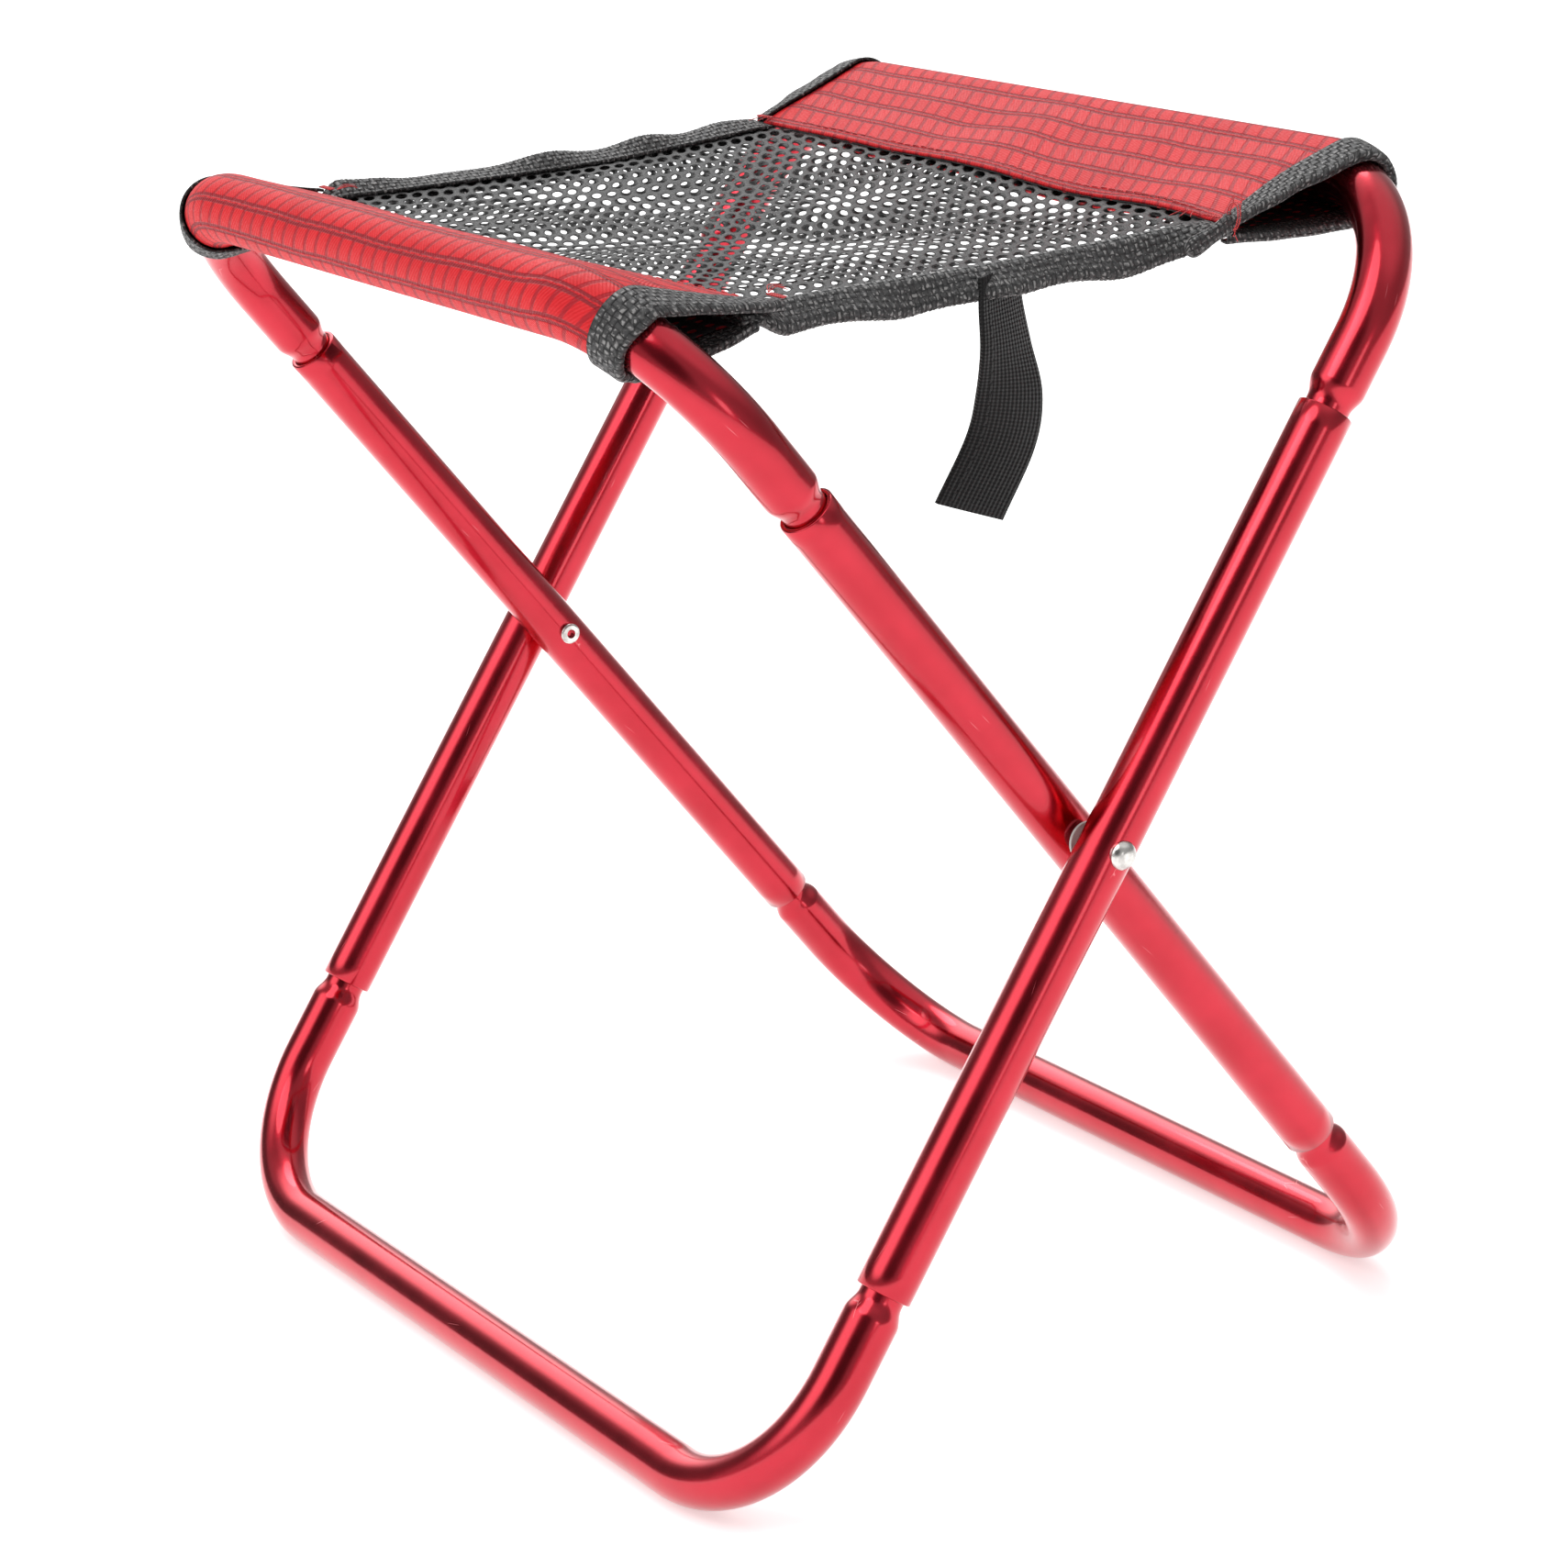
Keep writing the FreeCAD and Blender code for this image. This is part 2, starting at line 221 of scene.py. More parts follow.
def add_thread(builder, points, per_span, radius):
    """A thin round thread along a smooth line through a few points."""
    sides, end_taper = 6, 0.55
    line = smooth_line(points, per_span)
    tangent = np.gradient(line, axis=0)
    tangent /= np.linalg.norm(tangent, axis=1, keepdims=True)
    helper = np.array([0.31, 0.17, 0.93])
    first = np.cross(tangent, helper)
    first /= np.linalg.norm(first, axis=1, keepdims=True)
    second = np.cross(tangent, first)
    turn = np.linspace(0, 2 * pi, sides, endpoint=False)
    across = first[:, None] * np.cos(turn)[:, None] + second[:, None] * np.sin(turn)[:, None]
    taper = np.ones(len(line))
    taper[0] = taper[-1] = end_taper
    ring = line[:, None] + across * radius * taper[:, None, None]
    u = distances(line)
    v = np.arange(sides + 1) * radius
    base = builder.grid(ring, u, v, wrap_v=True)
    builder.fan([base + k for k in range(sides)], line[0], (0, 0), flip=False)
    last = base + (len(line) - 1) * sides
    builder.fan([last + k for k in range(sides)], line[-1], (u[-1], 0), flip=True)


# ---------------------------------------------------------------- material helpers

class Field:
    """A number or a colour that varies over a surface: one output of a shader node."""

    def __init__(self, tree, socket):
        self.tree = tree
        self.socket = socket

    def math(self, operation, other=0.0):
        return put(self.tree, "Math", {0: self, 1: other}, operation=operation)

    def __add__(self, other):
        return self.math("ADD", other)

    def __sub__(self, other):
        return self.math("SUBTRACT", other)

    def __mul__(self, other):
        return self.math("MULTIPLY", other)

    def __truediv__(self, other):
        return self.math("DIVIDE", other)

    def __rsub__(self, other):
        return put(self.tree, "Math", {0: other, 1: self}, operation="SUBTRACT")

    def __abs__(self):
        return self.math("ABSOLUTE")

    def zigzag(self, reach):
        """Rises from 0 to reach and falls back, over and over."""
        return self.math("PINGPONG", reach)

    def wave(self, pitch):
        """Sine wave of one period per pitch."""
        return (self * (2 * pi / pitch)).math("SINE")

    def ramp(self, low, high, to_low=0.0, to_high=1.0):
        """Smooth step from low..high to to_low..to_high."""
        sockets = {"Value": self, "From Min": low, "From Max": high, "To Min": to_low, "To Max": to_high}
        return put(self.tree, "MapRange", sockets, interpolation_type="SMOOTHSTEP")

    def mix(self, a, b):
        """Colour a with this share of colour b over it."""
        a, b = (c if isinstance(c, Field) else (*c, 1.0) for c in (a, b))
        return put(self.tree, "Mix", {0: self, 6: a, 7: b}, 2, data_type="RGBA")

    def stretched(self, scale):
        return put(self.tree, "VectorMath", {0: self, 1: scale}, operation="MULTIPLY")

    def noise(self, scale, detail=2.0, roughness=0.5):
        sockets = {"Vector": self, "Scale": scale, "Detail": detail, "Roughness": roughness}
        return put(self.tree, "TexNoise", sockets)

    def stripes(self, pitch, offset, half_width):
        """1 on pairs of thin lines, offset to both sides of every multiple of pitch."""
        near = abs(self.zigzag(pitch / 2) - offset)
        return near.ramp(half_width * 0.4, half_width, 1.0, 0.0)


def put(tree, kind, sockets=None, output=0, **settings):
    """Adds a shader node and returns one of its outputs. Its sockets take values or fields."""
    node = tree.nodes.new("ShaderNode" + kind)
    for key, value in settings.items():
        setattr(node, key, value)
    for key, value in (sockets or {}).items():
        if isinstance(value, Field):
            tree.links.new(value.socket, node.inputs[key])
        else:
            node.inputs[key].default_value = value
    return Field(tree, node.outputs[output])


def new_material(name):
    material = bpy.data.materials.new(name)
    material.use_nodes = True
    return material, material.node_tree


def uv_fields(tree):
    """The UV, in metres, and its two numbers."""
    uv = put(tree, "UVMap", uv_map=UV_MAP)
    return uv, put(tree, "SeparateXYZ", {0: uv}, 0), put(tree, "SeparateXYZ", {0: uv}, 1)


def own_place(tree):
    """Place on the object itself."""
    return put(tree, "TexCoord", output="Object")


def shade(material, maps, **constants):
    """Joins maps to the material's shader and sets the shader's constants."""
    tree = material.node_tree
    inputs = tree.nodes["Principled BSDF"].inputs
    for name, field in maps.items():
        tree.links.new(field.socket, inputs[name])
    for name, value in constants.items():
        inputs[name.replace("_", " ")].default_value = value
    return material


def surface(material, colour, rough, height, depth, strength=1.0, **constants):
    """A finished material: its colour, roughness and relief, and the shader's constants."""
    normal = put(material.node_tree, "Bump", {"Height": height, "Distance": depth, "Strength": strength})
    return shade(material, {"Base Color": colour, "Roughness": rough, "Normal": normal}, **constants)


def anodised_red():
    """Satin red anodising: drawn lines along the tube, faint peel, rare fine scratches."""
    dark, bright, scratched = (0.48, 0.012, 0.027), (0.55, 0.017, 0.036), (0.95, 0.32, 0.34)
    drawn_scale, peel_scale, cloud_scale, scratch_scale, patch_scale = 2600, 420, 45, 150, 75
    material, tree = new_material("red_anodised")
    uv = uv_fields(tree)[0]
    drawn = uv.stretched((1.0, 0.02, 1.0)).noise(drawn_scale, 3.0, 0.6)
    peel = uv.noise(peel_scale)
    cloud = uv.noise(cloud_scale, 3.0, 0.6)
    sockets = {"Vector": uv.stretched((1.0, 0.33, 1.0)), "Scale": scratch_scale}
    line = put(tree, "TexVoronoi", sockets, feature="DISTANCE_TO_EDGE").ramp(0.0, 0.012, 1.0, 0.0)
    scratch = line * uv.noise(patch_scale, 1.0).ramp(0.66, 0.72)
    colour = (scratch * 0.6).mix(cloud.ramp(0.3, 0.7).mix(dark, bright), scratched)
    rough = cloud.ramp(0.25, 0.75, 0.19, 0.27) + scratch * 0.2
    height = drawn * 0.25 + peel - scratch * 0.5
    return surface(material, colour, rough, height, 0.03 * MM, 0.6,
                   Metallic=1.0, Coat_Weight=0.65, Coat_Roughness=0.07)


def steel():
    """Bright turned rivet with fine grain and duller smudges."""
    bright, dull = (0.72, 0.70, 0.67), (0.52, 0.50, 0.48)
    grain_scale, smudge_scale = 2500, 500
    material, tree = new_material("rivet_steel")
    place = own_place(tree)
    grain = place.noise(grain_scale, 3.0, 0.6)
    smudge = place.noise(smudge_scale)
    colour = smudge.ramp(0.35, 0.7).mix(bright, dull)
    return surface(material, colour, smudge.ramp(0.3, 0.7, 0.16, 0.34), grain, 0.02 * MM, 0.5, Metallic=1.0)


def nylon():
    """Milky grey washer plastic."""
    grey, pale = (0.42, 0.41, 0.39), (0.56, 0.55, 0.52)
    cloud_scale = 900
    material, tree = new_material("washer_nylon")
    cloud = own_place(tree).noise(cloud_scale)
    return surface(material, cloud.mix(grey, pale), cloud.ramp(0.3, 0.7, 0.35, 0.5), cloud, 0.02 * MM, 0.4)


def basket_weave(across, along, pitch):
    """Height of a plain weave: yarns pass over and under each other in a checker."""
    roundness = 0.6
    counts = [across / pitch, along / pitch]
    hills = [(count.math("FRACT") * pi).math("SINE").math("POWER", roundness) for count in counts]
    odd = (counts[0].math("FLOOR") + counts[1].math("FLOOR")).zigzag(1.0)
    return hills[0] * odd + hills[1] * (1.0 - odd)


def ripstop():
    """Red ripstop: double dark threads both ways over a fine twill that turns at each band, the twill's
    raised lines painted lighter as highlight.
    """
    band_pitch, bar_pitch, twill_pitch = 7.5 * MM, 5.6 * MM, 1.1 * MM
    band_step, bar_lean = 3.0 * MM, 0.6
    dark, bright = (0.56, 0.009, 0.014), (0.68, 0.016, 0.021)
    # the first colour of the next line is painted highlight on the twill's raised lines
    twill_highlight, fibre = (0.80, 0.038, 0.045), (0.45, 0.008, 0.014)
    band_thread, bar_thread = (0.20, 0.016, 0.024), (0.31, 0.011, 0.020)
    sway_scale, cloud_scale, fibre_scale = 28, 60, 2400
    material, tree = new_material("red_ripstop")
    uv, around, along = uv_fields(tree)
    u = around + (uv.noise(sway_scale, 1.0) - 0.5) * (2.2 * MM)
    odd_band = (u / band_pitch).math("FLOOR").zigzag(1.0)
    bands = u.stripes(band_pitch, 0.65 * MM, 0.55 * MM)
    bars = (along + odd_band * band_step + u * bar_lean).stripes(bar_pitch, 0.2 * MM, 0.7 * MM)
    twill = (u * (odd_band * 2.0 - 1.0) + along).wave(twill_pitch) * 0.5 + 0.5
    fine = uv.stretched((1.0, 0.4, 1.0)).noise(fibre_scale)
    colour = uv.noise(cloud_scale).ramp(0.3, 0.7).mix(dark, bright)
    # painted highlight: the twill's raised lines are painted lighter
    colour = (twill * 0.5).mix(colour, twill_highlight)
    colour = (fine * 0.3).mix(colour, fibre)
    colour = (bands * 0.85).mix(colour, band_thread)
    colour = (bars * 0.75).mix(colour, bar_thread)
    height = twill * 0.35 + fine * 0.25 - bands - bars * 0.7
    return surface(material, colour, fine.ramp(0.3, 0.7, 0.42, 0.6), height, 0.22 * MM, 0.9,
                   Sheen_Weight=0.015, Sheen_Roughness=0.4, Specular_IOR_Level=0.16)


def net_yarn():
    """Black knitted yarn, painted darker in the loops' hollows and lighter on their crowns as shade and
    light, with small painted glints where the filaments turn.
    """
    # painted shade in the hollows, painted light on the crowns, and a painted glint colour
    shaded_hollow, crown, painted_glint = (0.0025, 0.0025, 0.003), (0.011, 0.0105, 0.011), (0.085, 0.082, 0.078)
    loop_scale, fibre_scale = 700, 2600
    material, tree = new_material("black_net")
    uv = uv_fields(tree)[0]
    sockets = {"Vector": uv, "Scale": loop_scale, "Distortion": 6.0, "Detail": 1.0, "Detail Scale": 2.0}
    loops = put(tree, "TexWave", sockets, "Fac", wave_type="BANDS", bands_direction="DIAGONAL")
    fine = uv.noise(fibre_scale)
    # painted shade in the loops' hollows, painted light on their crowns, painted glints where the filaments
    # turn
    colour = (loops * fine).ramp(0.44, 0.62).mix(loops.mix(shaded_hollow, crown), painted_glint)
    return surface(material, colour, fine.ramp(0.3, 0.7, 0.38, 0.6), loops + fine * 0.4, 0.18 * MM, 0.9,
                   Sheen_Weight=0.05, Sheen_Roughness=0.5)


def tape():
    """Black basket-woven binding tape: plump yarns, painted darker between them and lighter on their crowns
    as shade and light, with painted glints on their crowns.
    """
    yarn_pitch, zigzag_reach = 1.42 * MM, 1.5 * MM
    fold_at, row_at = 8.2 * MM, 6.4 * MM
    # painted shade in the hollows, painted light on the crowns, and a painted glint colour
    shaded_hollow, crown, painted_glint = (0.0008, 0.0008, 0.0010), (0.040, 0.039, 0.0395), (0.30, 0.29, 0.285)
    fibre, thread = (0.05, 0.049, 0.05), (0.10, 0.097, 0.095)
    sway_scale, patch_scale, fibre_scale = 260, 900, 3000
    material, tree = new_material("black_tape")
    uv, across, along = uv_fields(tree)
    sway = (uv.noise(sway_scale) - 0.5) * (0.6 * MM)
    basket = basket_weave(across + sway, along + sway, yarn_pitch)
    fine = uv.noise(fibre_scale)
    swing = along.zigzag(zigzag_reach) - zigzag_reach / 2
    stitch = abs(across.zigzag(fold_at) - row_at - swing).ramp(0.18 * MM, 0.4 * MM, 1.0, 0.0)
    # painted glints on the yarns' highest crowns
    glint = basket.ramp(0.72, 0.95) * uv.noise(patch_scale).ramp(0.50, 0.60)
    # painted shade between the yarns, painted light on their crowns
    colour = basket.ramp(0.15, 0.95).mix(shaded_hollow, crown)
    colour = (glint * 0.85).mix(colour, painted_glint)
    colour = (fine * 0.15).mix(colour, fibre)
    colour = (stitch * 0.4).mix(colour, thread)
    height = basket + fine * 0.2 + stitch * 0.4
    return surface(material, colour, fine.ramp(0.3, 0.7, 0.45, 0.62), height, 0.55 * MM,
                   Sheen_Weight=0.04, Sheen_Roughness=0.5, Specular_IOR_Level=0.4)


def webbing():
    """Black ribbed webbing with a lengthways stitch row near one edge; its ribs are painted darker in their
    hollows and lighter on their crowns, as shade and light.
    """
    rib_pitch, weft_pitch = 1.25 * MM, 0.9 * MM
    row_at, stitch_length, fibre_scale = 3.2 * MM, 1.4 * MM, 2600
    # the first two colours are painted shade in the ribs' hollows and painted light on their crowns
    shaded_hollow, crown, fibre = (0.0006, 0.0006, 0.0008), (0.0045, 0.0042, 0.0043), (0.014, 0.0133, 0.0133)
    material, tree = new_material("strap_webbing")
    uv, across, along = uv_fields(tree)
    ribs = across.wave(rib_pitch) + along.wave(weft_pitch) * 0.6
    fine = uv.noise(fibre_scale)
    # painted shade in the ribs' hollows, painted light on their crowns
    colour = (fine * 0.2).mix(ribs.ramp(-1.2, 1.6).mix(shaded_hollow, crown), fibre)
    row = abs(across - row_at).ramp(0.2 * MM, 0.45 * MM, 1.0, 0.0)
    stitch = row * along.zigzag(stitch_length).ramp(0.3 * MM, 0.6 * MM)
    return surface(material, colour, fine.ramp(0.3, 0.7, 0.4, 0.6), ribs + stitch * 3.0 + fine, 0.12 * MM,
                   Sheen_Weight=0.04, Sheen_Roughness=0.5, Specular_IOR_Level=0.2)


def sewing_thread():
    """Red sewing thread, twisted; its plies are painted darker in their grooves and lighter on their crowns,
    as shade and light.
    """
    # painted shade and painted light of the twisted plies
    dark, bright = (0.42, 0.010, 0.014), (0.80, 0.045, 0.05)
    ply_pitch = 0.5 * MM
    material, tree = new_material("red_thread")
    along, around = uv_fields(tree)[1:]
    ply = (along + around * 0.5).wave(ply_pitch)
    # painted shade in the plies' grooves, painted light on their crowns
    colour = ply.ramp(-1.0, 1.0).mix(dark, bright)
    return surface(material, colour, ply.ramp(-1.0, 1.0, 0.6, 0.42), ply, 0.06 * MM, 0.8, Sheen_Weight=0.2)


def sleeve_lining():
    """Black net laid against the inside of the red cloth, which shows in its holes."""
    # the first colour is painted shade in the fibre's low parts
    shaded_hollow, yarn, red = (0.010, 0.010, 0.011), (0.045, 0.044, 0.045), (0.42, 0.015, 0.022)
    hole_scale, fibre_scale = 250, 2600
    material, tree = new_material("sleeve_lining")
    uv = uv_fields(tree)[0]
    cells = put(tree, "TexVoronoi", {"Vector": uv, "Scale": hole_scale, "Randomness": 0.25})
    hole = cells.ramp(0.22, 0.30, 1.0, 0.0)
    fine = uv.noise(fibre_scale)
    # painted shade: the fibre's low parts are painted darker
    colour = hole.mix(fine.mix(shaded_hollow, yarn), red)
    return surface(material, colour, fine.ramp(0.3, 0.7, 0.5, 0.65), fine - hole, 0.3 * MM, 0.8)


def pale_floor():
    """White sweep with a faint cloud, lit a little from itself."""
    material, tree = new_material("pale_floor")
    colour = own_place(tree).noise(3.0).mix((0.90, 0.90, 0.90), (0.93, 0.93, 0.93))
    return shade(material, {"Base Color": colour}, Roughness=0.9, Specular_IOR_Level=0.1,
                 Emission_Color=(1.0, 1.0, 1.0, 1.0), Emission_Strength=0.5)


RED_METAL = anodised_red()
STEEL = steel()
NYLON = nylon()
RED_CLOTH = ripstop()
NET = net_yarn()
TAPE = tape()
WEBBING = webbing()
THREAD = sewing_thread()
LINING = sleeve_lining()

# ---------------------------------------------------------------- tubes

SIDES = 56
SHOULDER_STEPS = 12
BEND_STEPS = 24
STRAIGHT_STEPS = 12        # steps from a bend to the middle of a rail
ACROSS = Vector((0, 1, 0))


def frame_axes(side):
    """Along the leg towards the seat, and square to the frame's plane."""
    along = Vector((side * sin(LEAN), 0, cos(LEAN)))
    return along, along.cross(ACROSS)


def add_rings(builder, rings, wrap_v=False):
    """Skin over rings. Each is (centre, axis a, axis b, radius a, radius b, length so far)."""
    turn = np.linspace(0, 2 * pi, SIDES, endpoint=False)
    points = np.zeros((SIDES, len(rings), 3))
    for j, (centre, a, b, ra, rb, _) in enumerate(rings):
        points[:, j] = np.array(centre) + np.outer(ra * np.cos(turn), a) + np.outer(rb * np.sin(turn), b)
    u = np.arange(SIDES + 1) * 2 * pi * TUBE_R / SIDES
    v = [ring[-1] for ring in rings]
    return builder.grid(points, u, v + v[:1], wrap_u=True, wrap_v=wrap_v, flip=True)


def rail_path(half, reach, leg_end):
    """Rings' places in the frame's plane: (y, distance from the pivot, direction, bend share)."""
    deep_ring, bend_fade = 4 * MM, 0.7
    quarter = pi / 2
    bend_s = reach - BEND_R
    low = leg_end + NECK_SHOWN
    high = low + SHOULDER
    places = [leg_end - NECK_INSIDE, leg_end - deep_ring, leg_end]
    places += [low + SHOULDER * k / SHOULDER_STEPS for k in range(SHOULDER_STEPS + 1)]
    places += [high + (bend_s - high) * k / 4 for k in range(1, 4)]
    stops = [(-half, s, 0.0, 0.0) for s in places]
    for k in range(BEND_STEPS + 1):
        turn = quarter * k / BEND_STEPS
        share = max(0.0, sin(2 * turn)) ** bend_fade
        stops.append((BEND_R * (1 - cos(turn)) - half, bend_s + BEND_R * sin(turn), turn, share))
    run = half - BEND_R
    stops += [(-run * (1 - k / STRAIGHT_STEPS), reach, quarter, 0.0) for k in range(1, STRAIGHT_STEPS)]
    mirrored = [(-y, s, pi - turn, share) for y, s, turn, share in reversed(stops)]
    return stops + [(0.0, reach, quarter, 0.0)] + mirrored


def rail_radius(s, leg_end):
    """Radius of a rail's tube: thin in its neck, then full past a smooth shoulder."""
    t = min(max((s - leg_end - NECK_SHOWN) / SHOULDER, 0.0), 1.0)
    return NECK_R + (TUBE_R - NECK_R) * (0.5 - 0.5 * cos(pi * t))


def tube_rail(word, part, side, half, reach, leg_end):
    """U-shaped tube with swaged ends, slightly flattened in its bends; a negative reach is down."""
    flatter, wider = 0.05, 0.02
    along, square = frame_axes(side)
    if reach < 0:
        along, square, reach = -along, -square, -reach
    rings = []
    far = 0.0
    for y, s, turn, share in rail_path(half, reach, leg_end):
        centre = pivot + along * s + ACROSS * y
        far += (centre - rings[-1][0]).length if rings else 0.0
        inward = ACROSS * cos(turn) - along * sin(turn)
        radius = rail_radius(s, leg_end)
        radii = radius * (1 - flatter * share), radius * (1 + wider * share)
        rings.append((centre, inward, square, *radii, far))
    builder = Builder()
    base = add_rings(builder, rings)
    builder.close_ends(base, SIDES, len(rings), (rings[0][0], rings[-1][0]), far, False)
    piece = builder.piece(f"{word}_{part}_tube", RED_METAL, "red_anodised_tube")
    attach(piece, word + "_frame")
    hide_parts(f"{word}_{part}_rail")


def leg_stations(up, down):
    """Distances along a leg, closer together near the pivot."""
    near = 26 * MM
    middle = np.linspace(-near, near, 35)[1:-1]
    return np.concatenate([np.linspace(-down, -near, 18), middle, np.linspace(near, up, 18)])


def tube_leg(word, end, side, place_y, up, down, dent):
    """Straight open tube with softened rims; a shallow dent at the pivot faces outwards."""
    rim, dent_reach, dent_focus = 0.25 * MM, 10 * MM, 5
    along, square = frame_axes(side)
    bore = TUBE_R - WALL
    turn = np.linspace(0, 2 * pi, SIDES, endpoint=False)
    facing = np.maximum(0.0, np.cos(turn) * copysign(1.0, place_y)) ** dent_focus
    stops = []
    for s in leg_stations(up, down):
        radius = TUBE_R - dent * facing * exp(-((s / dent_reach) ** 2))
        stops.append((min(max(s, rim - down), up - rim), radius, s))
    face = TUBE_R - rim
    inside = bore + rim * 0.6
    lips = ((up, face), (up, inside), (up - rim, bore), (rim - down, bore), (-down, inside), (-down, face))
    stops += [(s, radius, up + (k + 1) * rim) for k, (s, radius) in enumerate(lips)]
    middle = pivot + ACROSS * place_y
    builder = Builder()
    add_rings(builder, [(middle + along * s, ACROSS, square, r, r, far) for s, r, far in stops], wrap_v=True)
    piece = builder.piece(f"{word}_leg_tube_{end}", RED_METAL, "red_anodised_tube")
    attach(piece, word + "_frame")
    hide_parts(f"{word}_leg_{end}")


def build_frames():
    plans = (("outer", 1, OUTER_HALF, outer_leg, 0.10 * MM), ("inner", -1, INNER_HALF, inner_leg, 0.75 * MM))
    for word, side, half, leg, dent in plans:
        up, down = leg_ends(leg)
        tube_rail(word, "seat", side, half, SEAT_REACH, up)
        tube_rail(word, "foot", side, half, -FOOT_REACH, down)
        tube_leg(word, "front", side, -half, up, down, dent)
        tube_leg(word, "rear", side, half, up, down, dent)


build_frames()
for node_name, material in (("pivot_rivet", STEEL), ("pivot_washer", NYLON)):
    for end in ("_front", "_rear"):
        node = frame["nodes"][node_name + end]
        node.data.materials.clear()
        node.data.materials.append(material)

# ---------------------------------------------------------------- cloth surfaces

NET_LEVEL = 0.6 * MM       # each net layer from the middle of the two
TIP_TOP = 1.35 * MM        # the sleeve's upper edge over the middle of the nets
SLEEVE_T = 0.6 * MM
LINING_T = 0.2 * MM
TAPE_T = 0.65 * MM
ROUND = 72                 # points round a sleeve
THREAD_R = 0.17 * MM

# The cloth is drawn outwards at its corners and mouths; the outer frame's side is 1, the inner's -1
MOUTH_REACH = {1: 8.0 * MM, -1: 6.5 * MM}    # how far the mouths are drawn along their rails
TIP_REACH = 3.6 * MM                         # and how far their sewn corners are drawn
HEM_PULL = {1: 4.2 * MM, -1: 7.5 * MM}       # upper hems drawn towards the middle at the front
LOW_PULL = {1: 4.2 * MM, -1: 0.5 * MM}       # and the sewn edges of the cloth below
PULL_PLACE = {1: (-100 * MM, 26 * MM), -1: (-102 * MM, 32 * MM)}
CORNER_X = SEAM_X - HEM_PULL[1]              # the outer sleeve's front corner
CORNER_Y = SEAT_HALF + TIP_REACH
CORNER_DROP = 1.7 * MM                       # and how far it hangs

# Dips of the sewn edges, stretched by the sitter's weight: depth, place along Y and reach, in mm
SEAM_DIPS = {1: ((1.7, -100, 24), (2.2, -38, 30), (0.5, 40, 20)), -1: ((1.4, 15, 38), (1.2, -100, 24))}

SEAT_ZONE = (-0.083, 1.083)                  # a piece's zone, as shares of the way from rail to rail
SLEEVE_ZONE = {1: (0.0, 0.782), -1: (0.218, 1.0)}
HALVES = {1: ("outer", OUTER_HALF), -1: ("inner", INNER_HALF)}


def hump(value, middle, width):
    return np.exp(-(((value - middle) / width) ** 2))


def smooth(value):
    """Smooth step of a number kept between 0 and 1."""
    t = np.clip(value, 0.0, 1.0)
    return t * t * (3 - 2 * t)


def seam_dip(side, y):
    """How far a sleeve's sewn edge hangs below its level."""
    return sum(depth * MM * hump(y, place * MM, reach * MM) for depth, place, reach in SEAM_DIPS[side])


def seam_pull(side, y):
    """Share of its full pull towards the middle that a sleeve's sewn edge has at one Y."""
    return hump(y, *PULL_PLACE[side])


def inwards(x):
    """0 at the sewn edges, 1 in the middle of the seat."""
    return np.clip(1 - (x / SEAM_X) ** 2, 0.0, 1.0)


def seat_height(x, y):
    """Height of the middle of the two nets."""
    edge_sag, middle_sag, wave_high = 1.2 * MM, 2.6 * MM, 0.7 * MM
    share = (x / SEAM_X + 1) / 2
    dip = seam_dip(1, y) * share + seam_dip(-1, y) * (1 - share)
    sag = edge_sag + middle_sag * np.maximum(0.0, 1 - (y / INNER_EDGE) ** 2)
    wave = wave_high * np.sin(x * 60 + 1.0) * np.sin(y * 105 + 0.4)
    return SEAM_Z - dip - (sag - wave) * inwards(x)


def net_gap(x, y):
    """How far the lower net hangs below its usual place."""
    middle, change = 0.7 * MM, 0.5 * MM
    inside = inwards(x) * np.clip(1 - (y / INNER_EDGE) ** 4, 0.0, 1.0)
    return inside * (middle + change * np.sin(x * 70 + 2.0) * np.cos(y * 45 - 0.5))


def drawn(y):
    """How much of its full reach the cloth is drawn outwards at this Y."""
    start, length = 40 * MM, 50 * MM
    return smooth((np.abs(y) - start) / length)


def narrowing(y, share):
    """The red cloth runs on under the tape towards the sewn edges, where the tape is narrow."""
    most, upper_reach, lower_reach = 0.58, 0.14, 0.09
    near = hump(share, 0.0, upper_reach) + hump(share, 1.0, lower_reach)
    left = HEM * drawn(y) ** 3 if abs(y) < INNER_EDGE else SEAT_HALF - abs(y)
    return copysign(most, y) * near * left


def corner_reach(x, y):
    """How far the seat's front and rear edges are drawn outwards towards its corners."""
    return TIP_REACH * np.minimum(np.abs(x) / SEAM_X, 1.0) ** 3 * drawn(y)


def rail_station(side, half, y):
    """Centre of the rail under a sleeve's ring, and the turn of the bend there."""
    run = abs(y) + MOUTH_REACH[side] * drawn(y)
    straight = half - BEND_R
    turn = max(0.0, run - straight) / BEND_R
    reach = min(run, straight) + BEND_R * sin(turn)
    drop = BEND_R * (1 - cos(turn))
    place = (RAIL_X - drop * sin(LEAN), copysign(reach, y), RAIL_Z - drop * cos(LEAN))
    return np.array(place), turn


